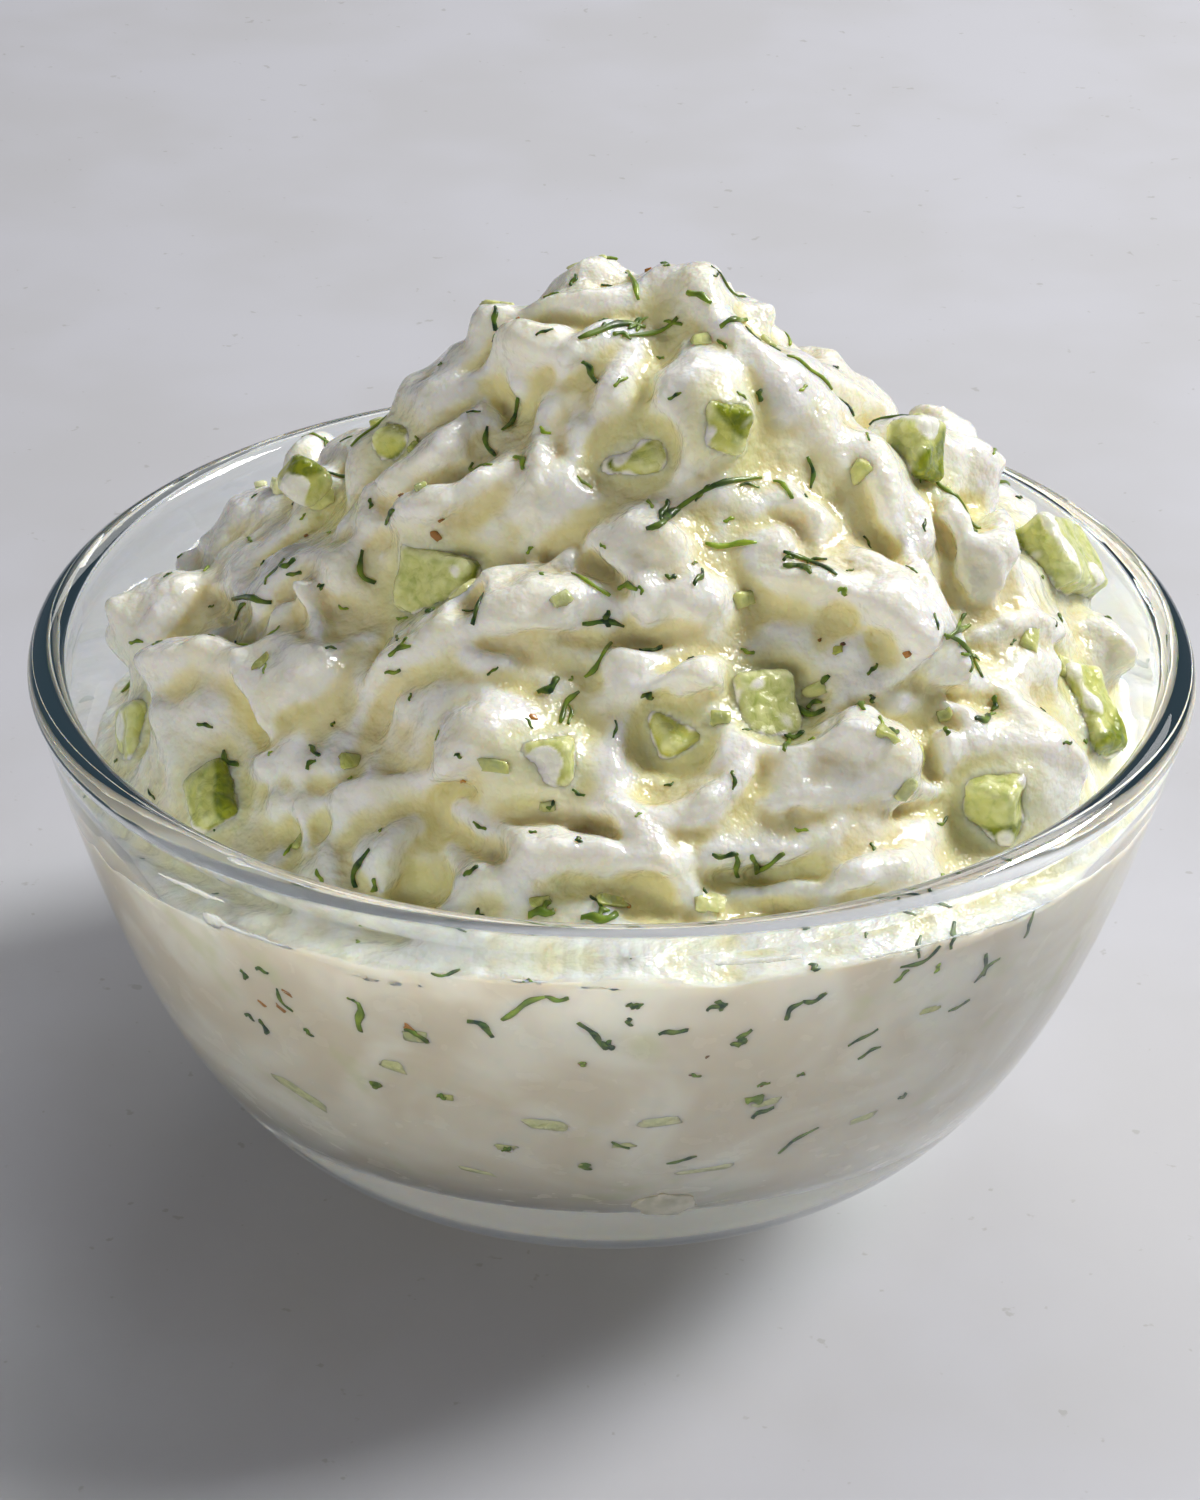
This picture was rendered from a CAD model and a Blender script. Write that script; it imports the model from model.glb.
# %% [markdown]
# # A small glass bowl of pickle dip
#
# This file dresses a plain solid model of a glass bowl heaped with cream dip. Each step says
# what the thing is on the real object, how it could be made, and why this way was chosen.
# The solid model comes first, because every piece has to sit where its solid sits.

import math
import random

import bmesh
import bpy
import numpy as np
from mathutils import Matrix, Vector, noise
from mathutils.bvhtree import BVHTree


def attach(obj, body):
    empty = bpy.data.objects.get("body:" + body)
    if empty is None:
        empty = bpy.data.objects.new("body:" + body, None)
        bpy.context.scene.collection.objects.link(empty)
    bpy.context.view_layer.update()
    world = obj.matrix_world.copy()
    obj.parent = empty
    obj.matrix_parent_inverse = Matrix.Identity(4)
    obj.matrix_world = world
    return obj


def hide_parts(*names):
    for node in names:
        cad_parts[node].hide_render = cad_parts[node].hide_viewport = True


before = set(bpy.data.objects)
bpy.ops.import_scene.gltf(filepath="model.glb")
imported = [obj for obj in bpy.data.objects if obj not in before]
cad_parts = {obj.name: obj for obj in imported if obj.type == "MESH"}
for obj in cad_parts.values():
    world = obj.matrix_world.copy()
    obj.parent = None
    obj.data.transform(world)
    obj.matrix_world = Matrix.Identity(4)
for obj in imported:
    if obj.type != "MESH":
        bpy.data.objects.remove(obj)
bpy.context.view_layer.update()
MM = 0.001
NOISE_SEED = 4
noise.seed_set(NOISE_SEED)  # a noise vector is drawn by the clock otherwise

# %% [markdown]
# ## The camera
#
# The photograph looks down at the bowl by about 30 degrees with a long lens, so near and far
# rims are almost the same width. The camera is set first, because dill and pickle are later
# laid where the photograph shows them, by lines of sight from here.

# %% Set the camera
UP = Vector((0.0, 0.0, 1.0))
EYE = Vector((-1.163, -379.41, 260.292)) * MM
LOOKS_DOWN, LEANS = math.radians(29.88), math.radians(-0.69)
PHOTO = (1200, 1500)  # width and height in pixels
LENS, FILM = 96.0, 36.0

lens = bpy.data.cameras.new("camera")
lens.lens, lens.sensor_width = LENS, FILM
lens.clip_start, lens.clip_end = 0.01, 20.0
camera = bpy.data.objects.new("camera", lens)
bpy.context.scene.collection.objects.link(camera)
upright = Matrix.Rotation(math.pi / 2 - LOOKS_DOWN, 4, "X")
camera.matrix_world = Matrix.Translation(EYE) @ upright @ Matrix.Rotation(-LEANS, 4, "Z")
bpy.context.scene.camera = camera


def sight(u, v):
    """The direction from the camera through a pixel of the photograph."""
    across = (u - PHOTO[0] / 2) / PHOTO[1] * FILM / LENS
    down = (v - PHOTO[1] / 2) / PHOTO[1] * FILM / LENS
    turn = camera.matrix_world.to_3x3()
    return (turn @ Vector((across, -down, -1.0))).normalized()


print("camera at, mm:", [round(c / MM) for c in EYE])

# %% [markdown]
# ## Small helpers
#
# An operator acts on all that is selected, so everything is deselected before each one. A
# finished piece keeps no live modifiers: its shape is then the same in any program.

# %% Helpers for selecting and for keeping modifiers
def only(obj):
    """Select one object alone and make it the active one."""
    bpy.ops.object.select_all(action="DESELECT")
    obj.select_set(True)
    bpy.context.view_layer.objects.active = obj
    return obj


def keep_modifiers(obj):
    """Apply an object's modifiers in their order."""
    only(obj)
    for modifier in list(obj.modifiers):
        bpy.ops.object.modifier_apply(modifier=modifier.name)
    return obj


def new_object(name, mesh):
    """Put a mesh in the scene as a named object."""
    obj = bpy.data.objects.new(name, mesh)
    bpy.context.scene.collection.objects.link(obj)
    return obj


def triangles(obj):
    """How many triangles a mesh has."""
    return sum(len(face.vertices) - 2 for face in obj.data.polygons)


print("object helpers ready")

# %% Helpers for finding a place on a mesh
def tree_of(obj):
    """A search tree over a mesh, for casting lines on it."""
    points = [v.co.copy() for v in obj.data.vertices]
    return BVHTree.FromPolygons(points, [tuple(p.vertices) for p in obj.data.polygons])


def nearest_on(tree, spot):
    """The nearest place of a mesh, and the way out of the mesh there.

    On an edge two faces are as near, and either may be found. The way from the place to
    the spot is the same in each run, so the face only says which end of it is outside.
    """
    place, normal, _, distance = tree.find_nearest(spot)
    if distance > 0.001 * MM:
        way = (spot - place).normalized()
        normal = way if way.dot(normal) > 0.0 else -way
    return place, normal


print("search helpers ready")

# %% Helpers for materials and their nodes
def add_node(tree, kind, inputs=None, **settings):
    """Add a shader node; an input is a value, or another node's output to link."""
    made = tree.nodes.new(kind)
    for key, value in settings.items():
        setattr(made, key, value)
    for key, value in (inputs or {}).items():
        if isinstance(value, bpy.types.NodeSocket):
            tree.links.new(value, made.inputs[key])
        else:
            made.inputs[key].default_value = value
    return made


def new_material(name, **sockets):
    """A material with one Principled shader, its plain values set on its sockets."""
    material = bpy.data.materials.new(name)
    material.use_nodes = True
    surface = material.node_tree.nodes["Principled BSDF"]
    for key, value in sockets.items():
        surface.inputs[key.replace("_", " ")].default_value = value
    return material, material.node_tree, surface


print("material helpers ready")

# %% [markdown]
# ## The glass bowl
#
# The bowl is pressed glass: heavy and thick at its base, thinner towards a rounded lip. Its
# outer profile is one smooth curve from heel to neck, and the hollow is a rounder curve, so
# that a clear band of glass shows under the dip. In Blender such a form is spun from half a
# cross-section. Here the profile is extruded point by point in edit mode and then spun, with
# far more steps than the solid has, because glass shows every facet in what it bends.

# %% The profile of the bowl
FOOT = Vector((30.8, 0.0)) * MM
HEEL_PULL = Vector((45.6, 3.8)) * MM
BELLY_PULL = Vector((54.3, 20.5)) * MM
NECK = Vector((61.7, 53.3)) * MM
LIP_CENTRE, LIP_RADIUS = Vector((60.4, 55.6)) * MM, 2.1 * MM
WALL_AT_LIP = 3.1 * MM
FLOOR_EDGE = Vector((16.0, 12.0)) * MM  # where the hollow's flat floor ends, over a thick base
FLOOR_PULL = Vector((40.0, 12.5)) * MM
SIDE_PULL = Vector((52.1, 25.0)) * MM
BOWL_HEIGHT = 57.7 * MM
SPIN_STEPS = 200


def on_curve(points, share):
    """A place on the curve with four given points, and the outward normal there."""
    rest = 1.0 - share
    weights = (rest**3, 3 * share * rest**2, 3 * share**2 * rest, share**3)
    place = sum((p * w for p, w in zip(points, weights)), Vector((0.0, 0.0)))
    slope = (rest**2, 2 * share * rest, share**2)
    steps = zip(points, points[1:], slope)
    along = sum(((b - a) * w for a, b, w in steps), Vector((0.0, 0.0))).normalized()
    return place, Vector((along.y, -along.x))


def outer_wall(steps):
    """The outer wall from foot to neck as (radius, height)."""
    return [on_curve((FOOT, HEEL_PULL, BELLY_PULL, NECK), i / steps)[0] for i in range(steps + 1)]


def inner_wall(steps, inset=0.0):
    """The inner wall from floor to neck as (radius, height), moved in by inset."""
    away = (NECK - BELLY_PULL).normalized()
    end = NECK - Vector((away.y, -away.x)) * WALL_AT_LIP
    line = []
    for i in range(steps + 1):
        place, outward = on_curve((FLOOR_EDGE, FLOOR_PULL, SIDE_PULL, end), i / steps)
        line.append(place - outward * inset)
    return line


def bowl_profile(wall_steps=48, lip_steps=22):
    """The whole cross-section, from the middle of the floor round the lip to the foot."""
    inside = inner_wall(wall_steps)
    lip = []
    for i in range(1, lip_steps + 1):
        angle = math.pi * (1.0 - i / lip_steps)
        lip.append(LIP_CENTRE + Vector((math.cos(angle), math.sin(angle))) * LIP_RADIUS)
    outside = reversed(outer_wall(wall_steps))
    return [Vector((0.0, inside[0].y)), *inside, *lip, *outside, Vector((0.0, 0.0))]


print("profile points:", len(bowl_profile()))

# %% Spin the profile
def spun(name, profile, steps):
    """Extrude a profile of (radius, height) from one vertex and spin it about Z."""
    bpy.ops.object.select_all(action="DESELECT")
    start = profile[0]
    bpy.ops.mesh.primitive_plane_add(size=MM, location=(start.x, 0.0, start.y))
    obj = bpy.context.object
    obj.name = obj.data.name = name
    bpy.ops.object.mode_set(mode="EDIT")
    bpy.ops.mesh.merge(type="CENTER")
    for near, far in zip(profile, profile[1:]):
        step = (far.x - near.x, 0.0, far.y - near.y)
        bpy.ops.mesh.extrude_region_move(TRANSFORM_OT_translate={"value": step})
    bpy.ops.mesh.select_all(action="SELECT")
    bpy.ops.mesh.spin(steps=steps, angle=math.tau, center=(0.0, 0.0, 0.0), axis=(0.0, 0.0, 1.0))
    bpy.ops.mesh.select_all(action="SELECT")
    bpy.ops.mesh.remove_doubles(threshold=0.01 * MM)
    bpy.ops.mesh.normals_make_consistent(inside=False)
    bpy.ops.object.mode_set(mode="OBJECT")
    bpy.ops.object.transform_apply(location=True, rotation=True, scale=True)
    return obj


bowl = spun("glass_bowl", bowl_profile(), SPIN_STEPS)
bowl.data.shade_smooth()
print("glass bowl:", triangles(bowl), "triangles")

# %% [markdown]
# ## Clear glass
#
# Clear glass is a Principled shader with full transmission, no roughness and an index of
# 1.5. A shadow ray that meets it would be stopped, and the dip behind it would go dark, so
# light on its way to a surface passes through a Transparent shader instead: real glass lets
# almost all of it through.

# %% Make the glass
GLASS_INDEX = 1.5
glass, tree, surface = new_material(
    "clear_glass", Base_Color=(0.965, 0.985, 0.98, 1.0), Roughness=0.0, IOR=GLASS_INDEX,
    Transmission_Weight=1.0, Metallic=0.0, Emission_Color=(0.003, 0.006, 0.008, 1.0),
    Emission_Strength=1.0,
)
path = add_node(tree, "ShaderNodeLightPath")
passing = add_node(tree, "ShaderNodeBsdfTransparent", {"Color": (0.93, 0.95, 0.945, 1.0)})
choice = add_node(
    tree, "ShaderNodeMixShader",
    {0: path.outputs["Is Shadow Ray"], 1: surface.outputs[0], 2: passing.outputs[0]},
)
tree.links.new(choice.outputs[0], tree.nodes["Material Output"].inputs["Surface"])
bowl.data.materials.append(glass)
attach(bowl, "root")
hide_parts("bowl")
print("glass on", bowl.name)

# %% [markdown]
# ## The bare heap
#
# The dip was spooned into a leaning cone over a flat fill, with a free moat along the glass.
# One formula gives the height of that bare heap over any point of the floor, and a folded
# noise makes its skin uneven. These are the same rules as the solid's, so the dressed dip
# keeps the solid's form.

# %% Height of the bare heap
PEAK = Vector((6.0, 2.0, 95.3)) * MM
TIP_ROUNDING = 13.0 * MM
SLOPES = (1.12, 1.18, 0.95, 1.2)  # fall of the cone towards +X, +Y, -X and -Y
SHELVES = (47.0 * MM, 46.0 * MM, 45.0 * MM, 52.0 * MM)
SHORES = (46.0 * MM, 44.0 * MM, 42.5 * MM, 50.5 * MM)
BANKS = (51.5 * MM, 46.5 * MM, 48.5 * MM, 54.5 * MM)
BANK_END = 57.0 * MM
NOTCH, NOTCH_DEPTH, NOTCH_SPREAD = Vector((22.0, 6.0)) * MM, 8.5 * MM, 7.0 * MM
RUMPLE_SCALE, RUMPLE_HEIGHT = 13.0 * MM, 3.4 * MM


def by_side(values, x, y):
    """Blend four values, given towards +X, +Y, -X and -Y, by direction."""
    reach = math.hypot(x, y) or 1.0
    right, back = x / reach, y / reach
    sides = (max(right, 0.0), max(back, 0.0), max(-right, 0.0), max(-back, 0.0))
    return sum(v * s * s for v, s in zip(values, sides))


def smooth_step(low, high, value):
    """0 below low, 1 above high, and a soft rise between."""
    share = min(max((value - low) / (high - low), 0.0), 1.0)
    return share * share * (3.0 - 2.0 * share)


def heap_height(x, y):
    """Height of the bare heap over a point of the floor."""
    dx, dy = x - PEAK.x, y - PEAK.y
    far = math.hypot(dx, dy, TIP_ROUNDING) - TIP_ROUNDING
    cone = PEAK.z - by_side(SLOPES, dx, dy) * far
    dent = math.hypot(x - NOTCH.x, y - NOTCH.y) / NOTCH_SPREAD
    cone -= NOTCH_DEPTH * math.exp(-dent * dent)
    height = max(cone, by_side(SHELVES, x, y))
    slide = smooth_step(by_side(BANKS, x, y), BANK_END, math.hypot(x, y))
    return height + (by_side(SHORES, x, y) - height) * slide


def rumple(place):
    """How far the folded skin stands off the bare heap at a place of it."""
    spot = place / RUMPLE_SCALE
    spot = spot + noise.noise_vector(spot * 0.6) * 0.9
    broad = 1.0 - abs(noise.noise(spot)) * 2.6
    finer = 1.0 - abs(noise.noise(spot * 2.1 + Vector((7.0, 1.0, 3.0)))) * 2.6
    return RUMPLE_HEIGHT * (broad + (finer - broad) * 0.3 - 0.5)


def core_point(x, y):
    """A point of the folded heap over a point of the floor."""
    place = Vector((x, y, heap_height(x, y)))
    calm = min(max((BANK_END - math.hypot(x, y)) / (10.0 * MM), 0.0), 1.0)
    place.z += calm * rumple(place)
    return place


print("heap height at the middle, mm:", round(heap_height(0.0, 0.0) / MM, 1))

# %% Shape a round grid into the heap
CORE_SPREAD, CORE_BOTTOM = 66.0 * MM, -4.0 * MM
CORE_RINGS, CORE_SPOKES = 120, 300

bpy.ops.object.select_all(action="DESELECT")
bpy.ops.mesh.primitive_circle_add(vertices=CORE_SPOKES, radius=CORE_SPREAD, fill_type="NOTHING")
heap = bpy.context.object
heap.name = heap.data.name = "dip_heap"
bpy.ops.object.mode_set(mode="EDIT")
for ring in range(CORE_RINGS - 1, 0, -1):
    bpy.ops.mesh.extrude_edges_move()
    shrink = ring / (ring + 1)
    bpy.ops.transform.resize(value=(shrink, shrink, 1.0), center_override=(0.0, 0.0, 0.0))
bpy.ops.mesh.merge(type="CENTER")
bpy.ops.object.mode_set(mode="OBJECT")
for vertex in heap.data.vertices:
    vertex.co = core_point(vertex.co.x, vertex.co.y)
only(heap)
bpy.ops.object.mode_set(mode="EDIT")
bpy.ops.mesh.select_all(action="DESELECT")
bpy.ops.mesh.select_non_manifold()
bpy.ops.mesh.extrude_edges_move()
bpy.ops.transform.resize(value=(1.0, 1.0, 0.0), center_override=(0.0, 0.0, CORE_BOTTOM))
bpy.ops.mesh.edge_face_add()
bpy.ops.mesh.select_all(action="SELECT")
bpy.ops.mesh.normals_make_consistent(inside=False)
bpy.ops.object.mode_set(mode="OBJECT")
print("bare heap:", triangles(heap), "triangles")

# %% [markdown]
# ## Folds, lumps and crests
#
# Stirred cream stands in soft folds: oval lumps that run into each other, with a crease where
# they meet and here and there a thin crest pulled up by the spoon. One unit lump is modelled
# and then copied, each copy stretched and laid on the heap. The ones that the photograph
# shows are listed by where they are seen in the upright plane through the bowl's axis: across
# and up in mm, then length, width, turn from level in degrees, and rise.

# %% The folds that the photograph shows
FOLDS = (
    # the peak
    (-2, 96, 9, 8, 20, 3.6), (9, 98, 8, 6, 80, 4.3), (4, 96, 9, 7, 10, 3.0),
    (15, 95, 6, 4, 80, 4.3), (-13, 86, 17, 12, 35, 5.6), (-18, 82, 9, 9, 60, 5.0),
    (-4, 89, 17, 9, 15, 3.8), (9, 83, 11, 15, 10, 5.1), (13, 88, 17, 4, -45, 3.8),
    (20, 84, 9, 13, 0, 3.5), (-3, 78, 5, 20, -12, 3.3), (-17, 77, 15, 6, 30, 3.8),
    # the left side
    (-25, 84, 7, 8, 0, 4.3), (-29, 79, 7, 9, 0, 3.8), (-29, 73, 8, 9, 30, 4.3),
    (-36, 69, 10, 11, 60, 4.8), (-31, 60, 14, 5, 50, 4.6), (-44, 62, 6, 7, 0, 4.8),
    (-48, 56, 8, 10, 60, 4.3), (-44, 47, 16, 12, 35, 5.9), (-33, 51, 13, 9, 10, 5.3),
    (-34, 35, 16, 11, 20, 3.5),
    # the broad folds across the middle
    (-12, 71, 18, 8, 35, 3.8), (-19, 69, 10, 7, 10, 4.8), (4, 67, 13, 7, 20, 4.0),
    (16, 67, 14, 8, -10, 3.8), (-13, 57, 25, 7, 22, 5.6), (6, 61, 20, 6, 12, 4.6),
    (-15, 48, 24, 13, 30, 4.8), (26, 58, 22, 12, -18, 6.9), (6, 50, 15, 5, 8, 5.6),
    (-5, 37, 26, 12, -32, 6.4), (12, 36, 15, 12, 25, 4.3), (22, 42, 26, 8, 8, 5.9),
    (19, 34, 13, 8, 0, 4.8), (37, 44, 14, 6, 5, 5.1),
    # the right side
    (28, 73, 8, 18, 20, 4.0), (34, 70, 4, 22, 22, 4.6), (39, 65, 4, 14, 25, 4.3),
    (31, 80, 7, 8, 0, 5.1), (37, 76, 8, 6, -30, 3.8), (43, 54, 13, 8, -20, 4.3),
    (52, 55, 7, 9, 70, 5.1), (46, 40, 15, 17, 0, 4.8),
    # along the front of the rim
    (-1, 26, 28, 10, 4, 6.4), (-24, 30, 11, 10, 30, 4.8), (-14, 29, 9, 7, -20, 3.8),
    (30, 27, 16, 7, 6, 3.5), (-45, 39, 10, 7, -30, 3.0),
)
ROUNDNESS = 0.42  # depth of a fold for its width
print("described folds:", len(FOLDS))

# %% One lump, and how it is laid
bpy.ops.object.select_all(action="DESELECT")
bpy.ops.mesh.primitive_ico_sphere_add(subdivisions=4, radius=1.0)
unit_lump = bpy.context.object


def frame_of(place, along, normal):
    """A frame with its Z on a normal and its X nearly along a line."""
    across = normal.cross(along).normalized()
    turn = Matrix((across.cross(normal), across, normal)).transposed().to_4x4()
    return Matrix.Translation(place) @ turn


def seen_at(tree, across, up, turn):
    """The frame where the line of sight through a place of the upright plane meets the heap."""
    aim = Vector((across, 0.0, up)) * MM
    place, normal, _, _ = tree.ray_cast(EYE, (aim - EYE).normalized())
    if place is None:
        place, normal = nearest_on(tree, aim)
    angle = math.radians(turn)
    beside = aim + Vector((math.cos(angle), 0.0, math.sin(angle))) * MM - EYE
    along = EYE + beside * ((place - EYE).dot(normal) / beside.dot(normal)) - place
    return frame_of(place, along, normal)


def dropped_at(tree, x, y, turn):
    """A frame on the heap straight under a place."""
    place, normal, _, _ = tree.ray_cast(Vector((x, y, 0.15)), -UP)
    return frame_of(place, Vector((math.cos(turn), math.sin(turn), 0.0)), normal)


def lay_lump(shapes, frame_there, length, width, rise):
    """Add a stretched copy of the unit lump, standing out by its rise."""
    depth = max(ROUNDNESS * min(length, width), 0.9 * rise)
    size = Matrix.Diagonal((length / 2, width / 2, depth, 1.0))
    first = len(shapes.verts)
    shapes.from_mesh(unit_lump.data)
    shapes.verts.ensure_lookup_table()
    place = frame_there @ Matrix.Translation((0.0, 0.0, rise - depth)) @ size
    bmesh.ops.transform(shapes, matrix=place, verts=shapes.verts[first:])


print("unit lump:", triangles(unit_lump), "triangles")

# %% Lay the folds on the heap
GOLDEN_ANGLE = math.pi * (3.0 - math.sqrt(5.0))
EVEN_STEP = 0.7548777  # spreads heights evenly, and out of step with that angle


def even_spot(i, count, reach, turn=0.0):
    """Where one of some things lies that are spread evenly over a round."""
    away, angle = reach * math.sqrt((i + 0.5) / count), i * GOLDEN_ANGLE + turn
    return away * math.cos(angle), away * math.sin(angle)


bare = tree_of(heap)
shapes = bmesh.new()
for across, up, length, width, turn, rise in FOLDS:
    lay_lump(shapes, seen_at(bare, across, up, turn), length * MM, width * MM, rise * MM)
draw = random.Random(4)
BACK_LUMPS = 56
for i in range(BACK_LUMPS):
    x, y = even_spot(i, BACK_LUMPS, BANK_END)
    length, width = draw.uniform(6.0, 20.0) * MM, draw.uniform(6.0, 20.0) * MM
    turn, rise = draw.uniform(0.0, math.tau), draw.uniform(1.2, 3.6) * MM
    if y > 10.0 * MM:
        lay_lump(shapes, dropped_at(bare, x, y, turn), length, width, rise)
print("lumps laid:", len(shapes.verts) // len(unit_lump.data.vertices))

# %% Helpers for a mesh as arrays
def arrays_of(mesh):
    """A mesh's points and normals as arrays."""
    points = np.empty(len(mesh.vertices) * 3, np.float32)
    normals = np.empty(len(mesh.vertices) * 3, np.float32)
    mesh.vertices.foreach_get("co", points)
    mesh.vertex_normals.foreach_get("vector", normals)
    return points.reshape(-1, 3).astype(float), normals.reshape(-1, 3).astype(float)


def put_points(mesh, points):
    """Give a mesh its moved points."""
    mesh.vertices.foreach_set("co", points.astype(np.float32).ravel())
    mesh.update()


def edges_of(mesh):
    """A mesh's edges as pairs of point numbers."""
    pairs = np.empty(len(mesh.edges) * 2, np.int32)
    mesh.edges.foreach_get("vertices", pairs)
    return pairs.reshape(-1, 2)


def smoothed(points, edges, rounds):
    """Points after each has moved to its neighbours' average some times."""
    count = np.bincount(edges.ravel(), minlength=len(points))[:, None]
    for _ in range(rounds):
        total = np.zeros_like(points)
        for axis in range(3):
            total[:, axis] = np.bincount(edges[:, 0], points[edges[:, 1], axis], len(points))
            total[:, axis] += np.bincount(edges[:, 1], points[edges[:, 0], axis], len(points))
        points = 0.5 * points + 0.5 * total / np.maximum(count, 1)
    return points


print("points of the bare heap:", len(arrays_of(heap.data)[0]))

# %% Join them under one skin
SKIN_CELL = 0.6 * MM
FILL_ROUNDS = 30


def soften(obj, cell, rounds):
    """Give an object an even fine mesh and round its edges."""
    skin = obj.modifiers.new("skin", "REMESH")
    skin.mode = "VOXEL"
    skin.voxel_size = cell
    soft = obj.modifiers.new("soft", "SMOOTH")
    soft.iterations = rounds
    return keep_modifiers(obj)


def fill_creases(mesh, rounds):
    """Let cream settle in the creases: points move out to their neighbours, hardly in."""
    edges = edges_of(mesh)
    for _ in range(rounds):
        points, normals = arrays_of(mesh)
        move = ((smoothed(points, edges, 6) - points) * normals).sum(1)
        points += normals * (np.maximum(move, 0.0) + 0.12 * np.minimum(move, 0.0))[:, None]
        put_points(mesh, points)


shapes.from_mesh(heap.data)
for vertex in shapes.verts:
    spot = vertex.co / (9.0 * MM)
    stray = noise.noise_vector(spot) * 1.7 + noise.noise_vector(spot * 2.3) * 0.35
    vertex.co += stray * MM * smooth_step(59.0 * MM, 52.0 * MM, math.hypot(vertex.co.x, vertex.co.y))
shapes.to_mesh(heap.data)
shapes.free()
bpy.data.objects.remove(unit_lump)
soften(heap, SKIN_CELL, 16)
fill_creases(heap.data, FILL_ROUNDS)
print("one skin:", triangles(heap), "triangles")

# %% [markdown]
# ## Crests and creases
#
# Cream that a spoon has dragged stands in crests: soft on the side it came from, steep on
# the other, with a crease at its foot. Each crest is a line on the heap, listed by pixels of
# the photograph, with its steep side on the right of its run. The mesh is pushed out along
# the line and pulled in beside it, as one would do by hand with a sculpting brush.

# %% The crests that the photograph shows: width and rise in mm, then places
CRESTS = (
    # the peak
    (2.2, 1.3, ((446, 346), (493, 330), (566, 316), (645, 306))),
    (2.6, 1.2, ((433, 363), (489, 353), (556, 356), (582, 349))),
    (1.8, 1.2, ((612, 330), (586, 345), (566, 370), (549, 406), (546, 439), (533, 492))),
    (1.5, 0.9, ((575, 400), (582, 430), (570, 470), (548, 520))),
    (1.8, 1.1, ((640, 350), (618, 372), (604, 405), (598, 440))),
    (1.6, 1.0, ((655, 386), (698, 386), (728, 404), (741, 440), (722, 478), (688, 502))),
    (1.4, 1.1, ((678, 479), (668, 446), (665, 400))),
    (1.5, 1.0, ((700, 300), (722, 330), (748, 350), (768, 392))),
    (2.2, 1.5, ((387, 492), (430, 469), (473, 426), (489, 396))),
    (1.6, 1.2, ((360, 530), (410, 516), (470, 500), (500, 470))),
    (2.0, 1.4, ((390, 558), (436, 565), (476, 588), (492, 608))),
    (1.5, 1.4, ((592, 538), (619, 552), (642, 585), (649, 625))),
    (1.6, 1.2, ((741, 515), (771, 505), (808, 512), (818, 552))),
    # across the middle
    (1.8, 1.4, ((412, 656), (458, 636), (528, 613), (584, 622))),
    (1.8, 1.3, ((359, 735), (379, 690), (399, 666), (445, 656), (520, 664))),
    (2.4, 1.8, ((312, 802), (365, 804), (418, 787), (468, 754), (515, 722))),
    (1.6, 1.1, ((520, 640), (580, 655), (640, 668), (690, 650))),
    (1.6, 1.6, ((636, 726), (655, 694), (700, 678), (752, 678), (756, 696))),
    (1.8, 1.4, ((564, 739), (591, 762), (604, 800), (617, 828))),
    (2.0, 1.8, ((505, 770), (560, 790), (610, 815), (646, 850))),
    (2.0, 1.3, ((640, 838), (693, 815), (736, 776), (745, 752))),
    (1.8, 1.2, ((630, 770), (680, 775), (712, 758), (722, 742))),
    (1.8, 1.5, ((732, 742), (786, 733), (850, 734), (890, 748))),
    (2.4, 1.8, ((761, 574), (800, 588), (850, 596), (904, 620), (930, 650))),
    (2.0, 1.5, ((775, 668), (830, 684), (880, 676), (915, 655))),
    (1.6, 1.3, ((800, 712), (871, 708), (943, 711), (971, 728))),
    (1.8, 1.7, ((770, 800), (829, 797), (879, 786), (943, 792), (996, 783))),
    (1.4, 1.4, ((940, 730), (944, 765), (956, 790))),
    (2.4, 1.9, ((690, 850), (760, 848), (830, 846), (890, 826))),
    (1.6, 1.3, ((904, 672), (925, 686), (993, 690), (1012, 708))),
    # the left side
    (1.8, 1.4, ((239, 662), (266, 689), (276, 726), (290, 745))),
    (2.2, 1.6, ((133, 706), (176, 670), (209, 658), (238, 676))),
    (1.8, 1.5, ((262, 620), (286, 590), (312, 568), (352, 584))),
    (1.4, 1.2, ((306, 575), (312, 605), (318, 632))),
    (1.6, 1.2, ((252, 560), (290, 540), (318, 510), (322, 480))),
    (1.6, 1.1, ((165, 640), (180, 600), (215, 585), (248, 596))),
    (1.8, 1.3, ((200, 772), (250, 775), (300, 772), (352, 770))),
    (1.6, 1.2, ((299, 772), (306, 805), (312, 862))),
    # along the front of the rim
    (1.6, 1.2, ((332, 880), (329, 840), (352, 822))),
    (1.8, 1.3, ((385, 892), (387, 842), (412, 817), (445, 822))),
    (1.8, 1.4, ((432, 802), (468, 809), (500, 834), (525, 858))),
    (2.2, 1.8, ((520, 866), (571, 858), (620, 859), (668, 874), (690, 900))),
    (1.6, 1.2, ((720, 900), (770, 893), (830, 884), (880, 872))),
    # the right side
    (1.4, 1.2, ((872, 455), (880, 500), (900, 545), (925, 590))),
    (1.4, 1.2, ((935, 480), (958, 530), (975, 570), (985, 612))),
    (1.6, 1.2, ((960, 640), (1010, 630), (1060, 640), (1080, 690))),
    (1.6, 1.3, ((1046, 640), (1070, 660), (1086, 700), (1084, 745))),
    (1.6, 1.2, ((1000, 750), (1040, 745), (1074, 760))),
)
print("crests:", len(CRESTS))

# %% The line that a crest follows
CREST_STEP = 1.2 * MM  # from one point of a crest's line to the next


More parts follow.
